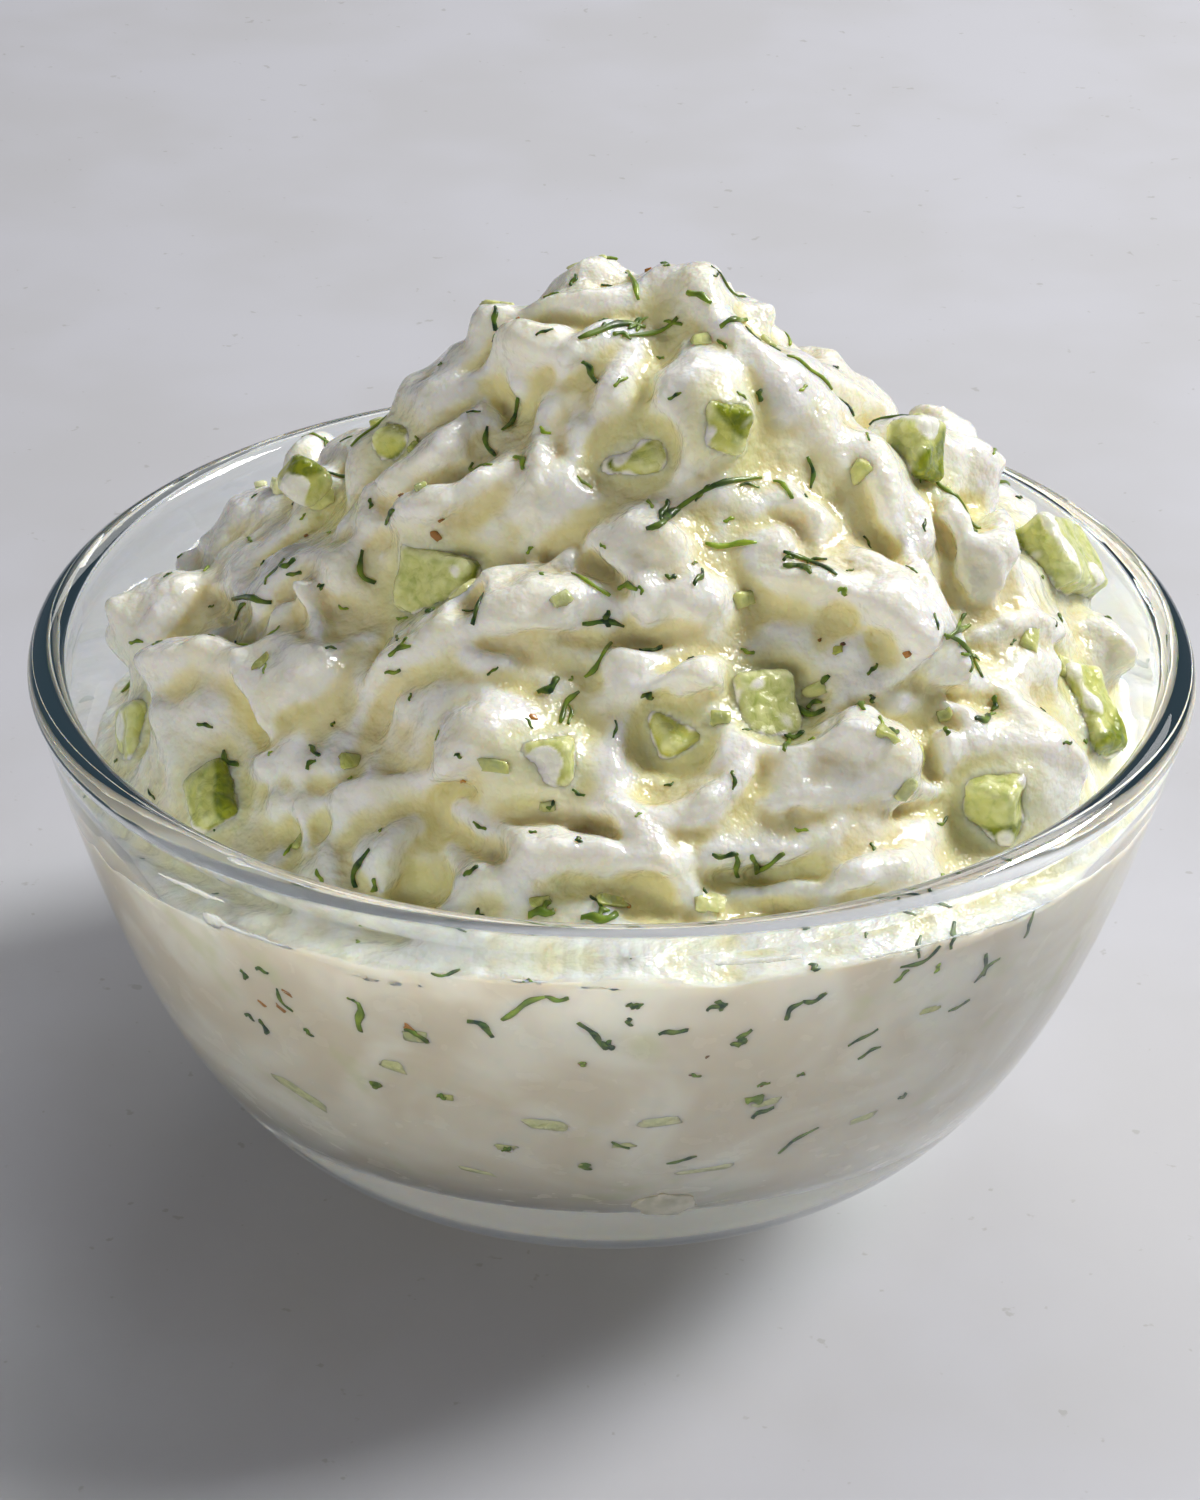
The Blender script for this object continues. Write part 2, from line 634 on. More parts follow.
def crest_line(tree, spots):
    """Points, normals and steep sides of a crest whose turning points lie on the heap."""
    places, normals = [], []
    for a, b in zip(spots, spots[1:]):
        steps = max(2, round((b - a).length / CREST_STEP))
        for i in range(steps + (b is spots[-1])):
            place, normal = nearest_on(tree, a.lerp(b, i / steps))
            places.append(place)
            normals.append(normal)
    runs = [places[min(i + 1, len(places) - 1)] - places[max(i - 1, 0)] for i in range(len(places))]
    steep = [run.cross(normal).normalized() for run, normal in zip(runs, normals)]
    return np.array(places), np.array(normals), np.array(steep)


def rounded(spots, rounds=2):
    """Round a run of places off by cutting its corners."""
    for _ in range(rounds):
        inner = []
        for a, b in zip(spots, spots[1:]):
            inner += [a.lerp(b, 0.25), a.lerp(b, 0.75)]
        spots = [spots[0], *inner, spots[-1]]
    return spots


print("a crest's line has a point every", CREST_STEP / MM, "mm")

# %% How one crest is pressed in
CREST_HEIGHT, CREASE_DEPTH = 1.6, 0.55  # the crease as a share of its crest


def press_crest(points, normals, line, width, rise):
    """Push the mesh out along one crest and in at the foot of its steep side."""
    places, ups, steep = line
    reach = 3.0 * width
    near = np.all((points > places.min(0) - reach) & (points < places.max(0) + reach), axis=1)
    index = np.flatnonzero(near)
    gaps = points[index, None] - places[None]
    closest = np.argmin((gaps**2).sum(2), axis=1)
    gap = gaps[np.arange(len(index)), closest]
    side = (gap * steep[closest]).sum(1) / width
    high = (gap * ups[closest]).sum(1) / width
    lies = (normals[index] * ups[closest]).sum(1)
    share = closest / (len(places) - 1)
    strength = np.sin(np.pi * np.clip(share * 0.94 + 0.03, 0, 1)) ** 0.6
    strength = strength * np.clip(lies * 2.0, 0, 1) * np.exp(-((high / 1.6) ** 2))
    along = np.linalg.norm(gap - (gap * steep[closest]).sum(1)[:, None] * steep[closest], axis=1) / width
    strength = strength * np.exp(-((along / 2.0) ** 4))
    out = np.where(side < 0, np.exp(np.minimum(side, 0.0) / 1.3), np.exp(-((side / 0.5) ** 2)))
    crease = np.exp(-(((side - 1.2) / 0.6) ** 2))
    move = CREST_HEIGHT * rise * strength * (out - CREASE_DEPTH * crease)
    points[index] += normals[index] * move[:, None]


print("a crease is pulled in by", CREASE_DEPTH, "of its crest")

# %% Where the mesh stays calm, and what the photograph shows
CALM_REACH = 4.5 * MM


def in_view(tree, here):
    """Whether a frame's place on the heap shows in the photograph."""
    away = here.translation - EYE
    if away.normalized().dot(here.to_3x3() @ UP) > -0.12:
        return False
    hit, _, _, distance = tree.ray_cast(EYE, away.normalized())
    return hit is not None and distance > away.length - 1.5 * MM


def calm_near_dice(points):
    """A share from 0.2 at a dice to 1 some millimetres off, for relief that would bury it."""
    share = np.ones(len(points))
    for i, place in enumerate(points):
        near, _, _, distance = dice_tree.find_nearest(Vector(place), CALM_REACH)
        if near is not None:
            share[i] = 0.2 + 0.8 * smooth_step(0.8 * MM, CALM_REACH, distance)
    return share


blocks = {name: item.data for name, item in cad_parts.items() if name.startswith("pickle")}
joined = bmesh.new()
for block in blocks.values():
    joined.from_mesh(block)
dice_tree = BVHTree.FromBMesh(joined)
joined.free()
soft_tree = tree_of(heap)
points, normals = arrays_of(heap.data)
before, calm = points.copy(), calm_near_dice(points)
print("calm near", len(blocks), "dice:", int((calm < 1.0).sum()), "points")

# %% Press the crests into the mesh
LOOSE_CRESTS = 130
for width, rise, pixels in CRESTS:
    spots = []
    for u, v in pixels:
        place = soft_tree.ray_cast(EYE, sight(u, v))[0]
        if place is not None:
            spots.append(place)
    press_crest(points, normals, crest_line(soft_tree, rounded(spots)), width * MM, rise * MM)
draw = random.Random(12)
laid = 0
for i in range(LOOSE_CRESTS):
    x, y = even_spot(i, LOOSE_CRESTS, 55.0 * MM)
    run, turn, bend = draw.uniform(8, 22) * MM, draw.uniform(0, math.tau), draw.uniform(-0.6, 0.6)
    width, rise = draw.uniform(1.3, 2.4) * MM, draw.uniform(0.8, 1.7) * MM
    here = dropped_at(soft_tree, x, y, turn)
    if in_view(soft_tree, here):
        continue
    spots = [here @ Vector((t, bend * t * t / run * 2, 0.0)) for t in (-run / 2, 0.0, run / 2)]
    press_crest(points, normals, crest_line(soft_tree, rounded(spots)), width, rise)
    laid += 1
points = before + (points - before) * calm[:, None]
put_points(heap.data, points)
print("crests pressed in:", len(CRESTS), "seen and", laid, "loose")

# %% [markdown]
# ## The grain of the dip
#
# Between the folds the dip is not smooth: chopped pickle and dill under the cream lift it in
# bumps of a few millimetres, and drawn cream has fine ridges. Folded noises of three sizes,
# some round lumps and one fine plain noise move the mesh along its normals. The finer ones are
# stronger towards the right side, where the photograph's light rakes over them, and all are
# calm close to the dice.

# %% Roughen the skin
def crinkle(spot, scale):
    """A folded noise: sharp crests of 0.5 with smooth hollows between."""
    return 0.5 - 1.8 * abs(noise.noise(spot / scale))


def pebble(spot, cell, share):
    """A round lump of height 1 in a share of the cells, as pickle under cream makes."""
    away, centres = noise.voronoi(spot / cell)
    if 0.5 + 0.5 * noise.cell(centres[0] * 37.0) > share:
        return 0.0
    return max(0.0, 1.0 - (away[0] / 0.46) ** 2)


def grain_at(spot):
    """How far in mm the grain lifts the skin at a place given in mm."""
    rough = smooth_step(-0.25, 0.35, noise.noise(spot / 13.0) + 0.012 * spot.x - 0.05)
    warp = spot + noise.noise_vector(spot / 9.0) * 4.0 + noise.noise_vector(spot / 3.5) * 1.1
    lift = 0.95 * crinkle(warp, 9.0)
    lift += (0.42 + 0.20 * rough) * crinkle(warp + Vector((9.0, 2.0, 5.0)), 4.6)
    lift += (0.12 + 0.26 * rough) * crinkle(warp + Vector((3.0, 7.0, 1.0)), 2.3)
    lift += 0.75 * pebble(spot + noise.noise_vector(spot / 2.5) * 0.7, 5.0, 0.42)
    return lift + (0.04 + 0.10 * rough) * noise.noise(warp / 1.1)


points, normals = arrays_of(heap.data)
for i, (place, normal) in enumerate(zip(points, normals)):
    spot = Vector(place) / MM
    if spot.z > 38.0 and math.hypot(spot.x, spot.y) < 61.0:
        points[i] += normal * grain_at(spot) * calm[i] * MM
put_points(heap.data, points)
print("grain added")

# %% [markdown]
# ## Cream round the pickle
#
# A dice of pickle stands out of the cream, and the cream climbs a little up its sides. First
# the skin is held below the top of each dice and remeshed, because pushing stretches it. Then
# it is lifted close to the dice, most where it touches.

# %% Seat the dice in the cream
STANDS_OUT = 1.9 * MM
CLING_REACH, CLING_RISE = 1.2 * MM, 0.45 * MM
BURIED = ("pickle_top", "pickle_under_top", "pickle_shoulder", "pickle_left_rim")  # under thin cream


def hold_down(points, normals, tree, block, stands_out, toward_eye):
    """Keep the skin below the top of one block, and clear the side that is seen."""
    corners = np.array([vertex.co[:] for vertex in block.vertices])
    middle = (corners.min(0) + corners.max(0)) / 2
    out = nearest_on(tree, Vector(middle))[1] + (EYE - Vector(middle)).normalized() * toward_eye
    out = np.array(out.normalized())
    top = ((corners - middle) @ out).max()
    beside = (corners - middle) - ((corners - middle) @ out)[:, None] * out
    reach = np.linalg.norm(beside, axis=1).max()
    gap = points - middle
    high = gap @ out
    away = np.linalg.norm(gap - high[:, None] * out, axis=1)
    free = np.clip((away - 0.75 * reach) / (0.6 * reach), 0.0, 1.0)
    limit = top - stands_out + 5.0 * MM * free * free
    over = (away < 1.35 * reach) & (high > limit) & (high < top + 6.0 * MM) & (normals @ out > 0.1)
    points[over] -= out * (high - limit)[over, None]


points, normals = arrays_of(heap.data)
skin_tree = tree_of(heap)
for name, block in blocks.items():
    behind = name.startswith("pickle_back")
    stands_out = 1.5 * MM if name in BURIED else STANDS_OUT
    hold_down(points, normals, skin_tree, block, stands_out, 0.0 if behind else 0.6)
put_points(heap.data, points)
soften(heap, SKIN_CELL, 7)
points, normals = arrays_of(heap.data)
for i, (place, normal) in enumerate(zip(points, normals)):
    near, _, _, distance = dice_tree.find_nearest(Vector(place), CLING_REACH)
    if near is not None:
        points[i] += normal * CLING_RISE * (1.0 - distance / CLING_REACH) ** 2
put_points(heap.data, points)
print("dice seated:", len(blocks))

# %% [markdown]
# ## Fit the dip into the bowl
#
# What fills glass has to touch it, or a thin mirror of air shows between. So the heap is cut
# to the bowl's hollow, a fifth of a millimetre larger than it is.

# %% Cut the heap to the hollow
INTO_GLASS = 0.2 * MM


def cut_to(obj, form):
    """Keep only what lies inside a form."""
    cut = obj.modifiers.new("cut", "BOOLEAN")
    cut.operation = "INTERSECT"
    cut.solver = "MANIFOLD"
    cut.object = form
    return keep_modifiers(obj)


hollow = inner_wall(44, -INTO_GLASS)
top = 2.0 * BOWL_HEIGHT
room = spun(
    "room",
    [Vector((0.0, hollow[0].y)), *hollow, Vector((hollow[-1].x, top)), Vector((0.0, top))],
    SPIN_STEPS,
)
cut_to(heap, room)
heap.data.shade_smooth()
print("dip:", triangles(heap), "triangles")

# %% [markdown]
# ## How hollow each spot is
#
# Cream is pale where it stands out and warmer, a little yellow, where it lies in a crease,
# because light has wandered through more of it there. A shader can't tell crest from crease
# by itself, so the mesh carries a number for it: how far each point lies under the average of
# its neighbourhood, at a fine and a broad scale. A second number marks where the dip is pressed
# smooth against the glass, and a third how near a dice of pickle lies, whose juice tints it.

# %% Measure the hollows
FINE_ROUNDS, BROAD_ROUNDS = 14, 110
JUICE_REACH = 2.6 * MM


def store(mesh, name, values):
    """Keep a number for each point of a mesh."""
    level = mesh.attributes.new(name, "FLOAT", "POINT")
    level.data.foreach_set("value", np.asarray(values, np.float32))


points, normals = arrays_of(heap.data)
edges = edges_of(heap.data)
fine = smoothed(points, edges, FINE_ROUNDS)
broad = smoothed(fine, edges, BROAD_ROUNDS)
depth = ((fine - points) * normals).sum(1) / (0.16 * MM) * 0.5
depth += ((broad - fine) * normals).sum(1) / (0.75 * MM) * 0.8
store(heap.data, "hollow", np.clip(0.5 + 0.5 * depth, 0.0, 1.0))
wall_radius = np.interp(points[:, 2], [p.y for p in hollow], [p.x for p in hollow])
gap = wall_radius - np.hypot(points[:, 0], points[:, 1])
gap[points[:, 2] < hollow[0].y + 0.1 * MM] = 0.0
pressed = np.clip(1.0 - (gap - 0.1 * MM) / (0.6 * MM), 0.0, 1.0)
store(heap.data, "pressed", pressed)
juice = []
for place in points:
    near, _, _, distance = dice_tree.find_nearest(Vector(place), JUICE_REACH)
    juice.append(0.0 if near is None else (1.0 - distance / JUICE_REACH) ** 0.8)
store(heap.data, "juice", juice)
print("hollow share:", round(float((depth > 0).mean()), 2), "pressed:", round(float(pressed.mean()), 2))

# %% [markdown]
# ## Patterns that more than one finish uses
#
# Two effects come back in several finishes, so each is a node group with its own inputs.
# One gives soft cloudy patches. The other gives short threads: in each cell of a Voronoi
# pattern it draws a piece of a line through the cell's middle, turned at random and laid
# along the surface, which is what chopped dill just under thin cream looks like.

# %% Helpers for groups and for maths on nodes
def new_group(name, inputs, outputs):
    """An empty node group with float inputs and outputs, and its two end nodes."""
    group = bpy.data.node_groups.new(name, "ShaderNodeTree")
    for label, value in inputs.items():
        socket = group.interface.new_socket(label, in_out="INPUT", socket_type="NodeSocketFloat")
        socket.default_value = value
    for label in outputs:
        group.interface.new_socket(label, in_out="OUTPUT", socket_type="NodeSocketFloat")
    return group, group.nodes.new("NodeGroupInput"), group.nodes.new("NodeGroupOutput")


def ramp(tree, value, low, high):
    """A soft rise from 0 to 1 as a value goes from low to high."""
    inputs = {"Value": value, "From Min": low, "From Max": high}
    return add_node(tree, "ShaderNodeMapRange", inputs, interpolation_type="SMOOTHSTEP").outputs[0]


def maths(tree, operation, a, b=0.0):
    """The result of a Math node."""
    return add_node(tree, "ShaderNodeMath", {0: a, 1: b}, operation=operation).outputs[0]


def vector_maths(tree, operation, a, b=None):
    """A Vector Math node."""
    inputs = {0: a} if b is None else {0: a, 1: b}
    return add_node(tree, "ShaderNodeVectorMath", inputs, operation=operation)


def scaled(tree, vector, factor):
    """A vector times a number."""
    inputs = {0: vector, "Scale": factor}
    return add_node(tree, "ShaderNodeVectorMath", inputs, operation="SCALE").outputs[0]


def along_surface(tree, vector, normal):
    """What is left of a vector without its part along the normal."""
    lift = vector_maths(tree, "DOT_PRODUCT", vector, normal).outputs["Value"]
    return vector_maths(tree, "SUBTRACT", vector, scaled(tree, normal, lift)).outputs[0]


def object_place(tree):
    """Object coordinates in millimetres."""
    return scaled(tree, add_node(tree, "ShaderNodeTexCoord").outputs["Object"], 1.0 / MM)


print("node helpers ready")

# %% The soft cloudy patches
clouds, given, result = new_group(
    "cloudy_patches", {"Size mm": 5.0, "Low": 0.4, "High": 0.6, "Shift": 0.0}, ["Mask"]
)
wave = maths(clouds, "DIVIDE", 1.0, given.outputs["Size mm"])
moved = vector_maths(clouds, "ADD", object_place(clouds))
clouds.links.new(given.outputs["Shift"], moved.inputs[1])
cloud = add_node(
    clouds, "ShaderNodeTexNoise", {"Vector": moved.outputs[0], "Scale": wave, "Detail": 3.0}
)
clouds.links.new(
    ramp(clouds, cloud.outputs[0], given.outputs["Low"], given.outputs["High"]), result.inputs[0]
)

print("group:", clouds.name)

# %% The short sunk threads
threads, given, result = new_group(
    "sunk_threads",
    {"Cell mm": 6.0, "Length mm": 4.0, "Width mm": 0.5, "Blur mm": 0.3, "Share": 0.6},
    ["Mask"],
)
place = object_place(threads)
wave = maths(threads, "DIVIDE", 1.0, given.outputs["Cell mm"])
cells = add_node(threads, "ShaderNodeTexVoronoi", {"Vector": place, "Scale": wave})
centre = scaled(threads, cells.outputs["Position"], given.outputs["Cell mm"])
normal = add_node(threads, "ShaderNodeTexCoord").outputs["Normal"]
toward = vector_maths(threads, "SUBTRACT", cells.outputs["Color"], (0.5, 0.5, 0.5)).outputs[0]
toward = along_surface(threads, toward, normal)
line = vector_maths(threads, "NORMALIZE", toward).outputs[0]
gap = vector_maths(threads, "SUBTRACT", place, centre).outputs[0]
gap = along_surface(threads, gap, normal)
half = maths(threads, "MULTIPLY", given.outputs["Length mm"], 0.5)
run = vector_maths(threads, "DOT_PRODUCT", gap, line).outputs["Value"]
run = maths(threads, "MINIMUM", run, half)
run = maths(threads, "MAXIMUM", run, maths(threads, "MULTIPLY", half, -1.0))
away = vector_maths(threads, "DISTANCE", gap, scaled(threads, line, run)).outputs["Value"]
edge = maths(threads, "ADD", given.outputs["Width mm"], given.outputs["Blur mm"])
inside = maths(threads, "SUBTRACT", 1.0, ramp(threads, away, given.outputs["Width mm"], edge))
pick = add_node(threads, "ShaderNodeSeparateColor", {0: cells.outputs["Color"]})
here = maths(threads, "LESS_THAN", pick.outputs[0], given.outputs["Share"])
threads.links.new(maths(threads, "MULTIPLY", inside, here), result.inputs[0])
print("group:", threads.name)

# %% Helpers for using a group, and for mixing colours
def use_group(tree, group, **inputs):
    """Place a group in a material and give its first output."""
    node = add_node(tree, "ShaderNodeGroup", node_tree=group)
    for label, value in inputs.items():
        node.inputs[label.replace("_", " ")].default_value = value
    return node.outputs[0]


def blend(tree, share, a, b):
    """One colour turning into another by a share."""
    node = add_node(tree, "ShaderNodeMix", {0: share}, data_type="RGBA")
    for socket, colour in ((node.inputs[6], a), (node.inputs[7], b)):
        if isinstance(colour, bpy.types.NodeSocket):
            tree.links.new(colour, socket)
        else:
            socket.default_value = (*colour, 1.0)
    return node.outputs[2]


def tint(tree, mask, strength, colour, other):
    """A colour turning towards another where a mask is, by no more than a strength."""
    return blend(tree, maths(tree, "MULTIPLY", mask, strength), colour, other)


def vary_roughness(tree, surface, mask, span, least):
    """Let the roughness go up from its least by a span where a mask is."""
    rough = maths(tree, "ADD", maths(tree, "MULTIPLY", mask, span), least)
    tree.links.new(rough, surface.inputs["Roughness"])


def bump(tree, height, strength, distance):
    """A bump of a height in mm."""
    inputs = {"Height": height, "Strength": strength, "Distance": distance * MM}
    return add_node(tree, "ShaderNodeBump", inputs).outputs[0]


# %% [markdown]
# ## Cream with pickle juice and dill in it
#
# The dip is off-white and glossy, and light goes some millimetres into it: subsurface
# scattering gives it its soft shade. Its colour is ivory on the crests and warmer in the
# creases, yellow-green close to a dice, with faint green patches over sunk pickle and bluish
# threads over sunk dill. Where it is pressed to the glass it is duller and swirled instead.
# A fine bump breaks its shine as the tiny air bubbles and milk grains do.

# %% Make the cream
cream, tree, surface = new_material(
    "dip_cream", Metallic=0.0, IOR=1.45, Subsurface_Weight=1.0,
    Subsurface_Radius=(1.0, 0.8, 0.5), Subsurface_Scale=0.0019, Coat_Weight=0.6,
    Coat_Roughness=0.06,
)
read = {}
for name in ("hollow", "pressed", "juice"):
    read[name] = add_node(tree, "ShaderNodeAttribute", attribute_name=name).outputs["Fac"]
crest, crease = (0.97, 0.96, 0.87), (0.86, 0.795, 0.425)
colour = blend(tree, ramp(tree, read["hollow"], 0.25, 1.0), crest, crease)
peach = use_group(tree, clouds, Size_mm=13.0, Low=0.45, High=0.62, Shift=3.0)
colour = tint(tree, peach, 0.3, colour, (0.90, 0.80, 0.64))
green = use_group(tree, clouds, Size_mm=7.0, Low=0.52, High=0.66, Shift=11.0)
colour = tint(tree, green, 0.22, colour, (0.72, 0.76, 0.42))
colour = tint(tree, read["juice"], 0.62, colour, (0.80, 0.79, 0.38))
place = object_place(tree)
slow_noise = {"Vector": place, "Scale": 0.06, "Detail": 2.0, "Distortion": 1.2}
swirl = add_node(tree, "ShaderNodeTexNoise", slow_noise).outputs[0]
behind = blend(tree, ramp(tree, swirl, 0.35, 0.70), (0.74, 0.67, 0.55), (0.87, 0.84, 0.75))
green = use_group(tree, clouds, Size_mm=8.0, Low=0.58, High=0.72, Shift=17.0)
behind = tint(tree, green, 0.4, behind, (0.62, 0.66, 0.36))
blurred = use_group(tree, threads, Cell_mm=4.4, Length_mm=3.0, Width_mm=0.3, Blur_mm=0.7, Share=0.5)
behind = tint(tree, blurred, 0.45, behind, (0.36, 0.46, 0.42))
colour = blend(tree, read["pressed"], colour, behind)
blue = use_group(tree, clouds, Size_mm=3.4, Low=0.56, High=0.68, Shift=29.0)
colour = tint(tree, blue, 0.13, colour, (0.60, 0.68, 0.66))
sunk = use_group(tree, threads, Cell_mm=6.0, Length_mm=4.0, Width_mm=0.2, Blur_mm=0.8, Share=0.5)
colour = tint(tree, sunk, 0.5, colour, (0.30, 0.40, 0.38))
fleck = use_group(tree, threads, Cell_mm=2.9, Length_mm=1.2, Width_mm=0.12, Blur_mm=0.25, Share=0.22)
colour = tint(tree, fleck, 0.55, colour, (0.24, 0.36, 0.20))
tree.links.new(colour, surface.inputs["Base Color"])
wet = use_group(tree, clouds, Size_mm=4.0, Low=0.35, High=0.65, Shift=23.0)
vary_roughness(tree, surface, wet, 0.16, 0.12)
drawn = add_node(tree, "ShaderNodeTexNoise", {"Vector": place, "Scale": 0.45, "Detail": 1.0})
fine = add_node(tree, "ShaderNodeTexNoise", {"Vector": place, "Scale": 1.3, "Detail": 1.5})
drawn, fine = (maths(tree, "MULTIPLY", node.outputs[0], k) for node, k in ((drawn, 1.6), (fine, 0.7)))
height = maths(tree, "ADD", drawn, fine)
free = maths(tree, "SUBTRACT", 1.0, read["pressed"])
tree.links.new(bump(tree, maths(tree, "MULTIPLY", height, free), 0.7, 0.6), surface.inputs["Normal"])
heap.data.materials.clear()
heap.data.materials.append(cream)
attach(heap, "root")
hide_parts("dip")
print("cream on", heap.name)

# %% [markdown]
# ## The diced pickle
#
# Each dice is cut from a pickled cucumber: pale translucent flesh, wet, with one side of
# olive rind on some, and soft edges where the knife has pressed it. A dice starts as a copy
# of its plain block, so that it lies just where the block does. A remesh gives it an even
# fine mesh, smoothing rounds the cut, and noise makes its faces uneven.

# %% How each dice looks
DICE_LOOKS = {  # towards which side the rind is (across, up), its share, how creamed over, how green
    "pickle_mid_left": ((1.0, -0.35), 0.30, 0.10, 0.35),
    "pickle_centre": ((0.3, -1.0), 0.0, 0.06, 0.25),
    "pickle_collar": ((-0.2, -0.8), 0.35, 0.12, 0.80),
    "pickle_low": ((-1.0, 0.0), 0.12, 0.25, 0.55),
    "pickle_left_rim": ((0.9, -0.3), 0.35, 0.15, 0.55),
    "pickle_left_front": ((0.8, 0.5), 0.40, 0.05, 0.60),
    "pickle_top": ((0.7, 0.7), 0.20, 0.15, 0.70),
    "pickle_under_top": ((-0.8, -0.2), 0.20, 0.12, 0.60),
    "pickle_far_left": ((0.0, 1.0), 0.25, 0.15, 0.60),
    "pickle_shade_left": ((0.5, -0.5), 0.50, 0.10, 0.80),
    "pickle_right": ((-1.0, -0.1), 0.24, 0.12, 0.35),
    "pickle_right_rim": ((0.6, -0.6), 0.30, 0.20, 0.60),
    "pickle_right_front": ((0.2, -1.0), 0.30, 0.12, 0.45),
    "pickle_shoulder": ((0.5, -0.2), 0.30, 0.30, 0.50),
}


print("dice that the photograph shows:", len(DICE_LOOKS))

# %% How a dice is cut
def cut_dice(node, look, seed):
    """A detailed dice in place of a plain block."""
    (across, up), rind_share, creamed, green = look
    piece = new_object(node + "_dice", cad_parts[node].data.copy())
    only(piece)
    bpy.ops.object.mode_set(mode="EDIT")
    bpy.ops.mesh.select_all(action="SELECT")
    bpy.ops.mesh.remove_doubles(threshold=0.01 * MM)
    bpy.ops.object.mode_set(mode="OBJECT")
    soften(piece, 0.28 * MM, 6)
    points, normals = arrays_of(piece.data)
    low, high = points.min(0), points.max(0)
    middle, size = (low + high) / 2, (high - low).max()
    side = np.array((across, -0.25, up)) / math.hypot(across, 0.25, up)
    rind, film = [], []
    for i, (place, normal) in enumerate(zip(points, normals)):
        spot = Vector(place) / MM + Vector((seed * 7.0, 0.0, 0.0))
        wavy = noise.noise(spot / 2.8)
        along = ((place - middle) @ side) / size + 0.06 * wavy
        rind.append(smooth_step(0.40 - rind_share * 0.8, 0.50 - rind_share * 0.8, along))
        near, out = nearest_on(dip_tree, Vector(place))
        stands = (Vector(place) - near).dot(out) / MM + 0.7 * noise.noise(spot / 1.3)
        thick = 0.5 + 0.9 * noise.noise(spot / 3.4)
        patch = smooth_step(0.95 - creamed * 1.3, 1.05 - creamed * 1.3, thick)
        film.append(max(patch, 1.0 - smooth_step(-0.25, 0.15, stands)))
        lift = 0.36 * wavy + 0.12 * noise.noise(spot / 1.1) + 0.16 * film[-1]
        points[i] += normal * lift * MM
    put_points(piece.data, points)
    edges = edges_of(piece.data)
    points, normals = arrays_of(piece.data)
    bulge = ((points - smoothed(points, edges, 12)) * normals).sum(1) / (0.14 * MM)
    store(piece.data, "edge", np.clip(bulge, 0.0, 1.0))
    store(piece.data, "rind", rind)
    store(piece.data, "film", film)
    store(piece.data, "green", [green] * len(points))
    piece.data.shade_smooth()
    piece.data.materials.clear()
    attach(piece, "root")
    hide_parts(node)
    return piece


dip_tree, bowl_tree = tree_of(heap), tree_of(bowl)
print("dip and bowl can be searched")

# %% Cut the dice
draw = random.Random(31)
dice = []
for number, node in enumerate(sorted(blocks)):
    turn = draw.uniform(0.0, math.tau)
    shares = [draw.uniform(*span) for span in ((0.0, 0.4), (0.1, 0.4), (0.2, 0.7))]
    by_rule = ((math.cos(turn), math.sin(turn)), *shares)
    dice.append(cut_dice(node, DICE_LOOKS.get(node, by_rule), number))
print("dice:", len(dice), "with", sum(triangles(piece) for piece in dice), "triangles")

# %% Pickle flesh and rind
pickle, tree, surface = new_material(
    "pickle_flesh", Metallic=0.0, IOR=1.40, Subsurface_Weight=1.0,
    Subsurface_Radius=(0.9, 1.0, 0.7), Subsurface_Scale=0.0011, Coat_Weight=0.45,
    Coat_Roughness=0.04,
)
read = {}
for name in ("rind", "film", "green", "edge"):
    read[name] = add_node(tree, "ShaderNodeAttribute", attribute_name=name).outputs["Fac"]
place = object_place(tree)
fibrous = {"Vector": place, "Scale": 0.8, "Detail": 5.0, "Distortion": 0.5}
fibre = add_node(tree, "ShaderNodeTexNoise", fibrous).outputs[0]
flesh = blend(tree, read["green"], (0.74, 0.78, 0.40), (0.60, 0.61, 0.08))
flesh = blend(tree, ramp(tree, fibre, 0.42, 0.78), flesh, (0.46, 0.54, 0.14))
flesh = tint(tree, read["edge"], 0.7, flesh, (0.86, 0.88, 0.56))
skin = blend(tree, ramp(tree, fibre, 0.3, 0.7), (0.36, 0.40, 0.02), (0.16, 0.22, 0.02))
colour = blend(tree, read["rind"], flesh, skin)
colour = blend(tree, read["film"], colour, (0.95, 0.94, 0.82))
tree.links.new(colour, surface.inputs["Base Color"])
vary_roughness(tree, surface, read["film"], 0.12, 0.12)
seeds = add_node(tree, "ShaderNodeTexVoronoi", {"Vector": place, "Scale": 0.9})
height = maths(tree, "ADD", maths(tree, "MULTIPLY", seeds.outputs["Distance"], -0.8), fibre)
tree.links.new(bump(tree, height, 0.8, 0.45), surface.inputs["Normal"])
for piece in dice:
    piece.data.materials.append(pickle)
print("pickle finish on", len(dice), "dice")

# %% [markdown]
# ## Bits of pickle, spice and smears
#
# Much of the pickle is chopped finer than the dice: chips of one to four millimetres lie on
# the cream and press against the glass, with a few crumbs of orange and brown spice. One chip
# is modelled, a cube with its corners bevelled off, and copied into each place, bent a little
# each time. A chip that shows in the photograph is listed by its pixel, then its length and
# width in mm, its turn in degrees, how green it is and how much rind it has.

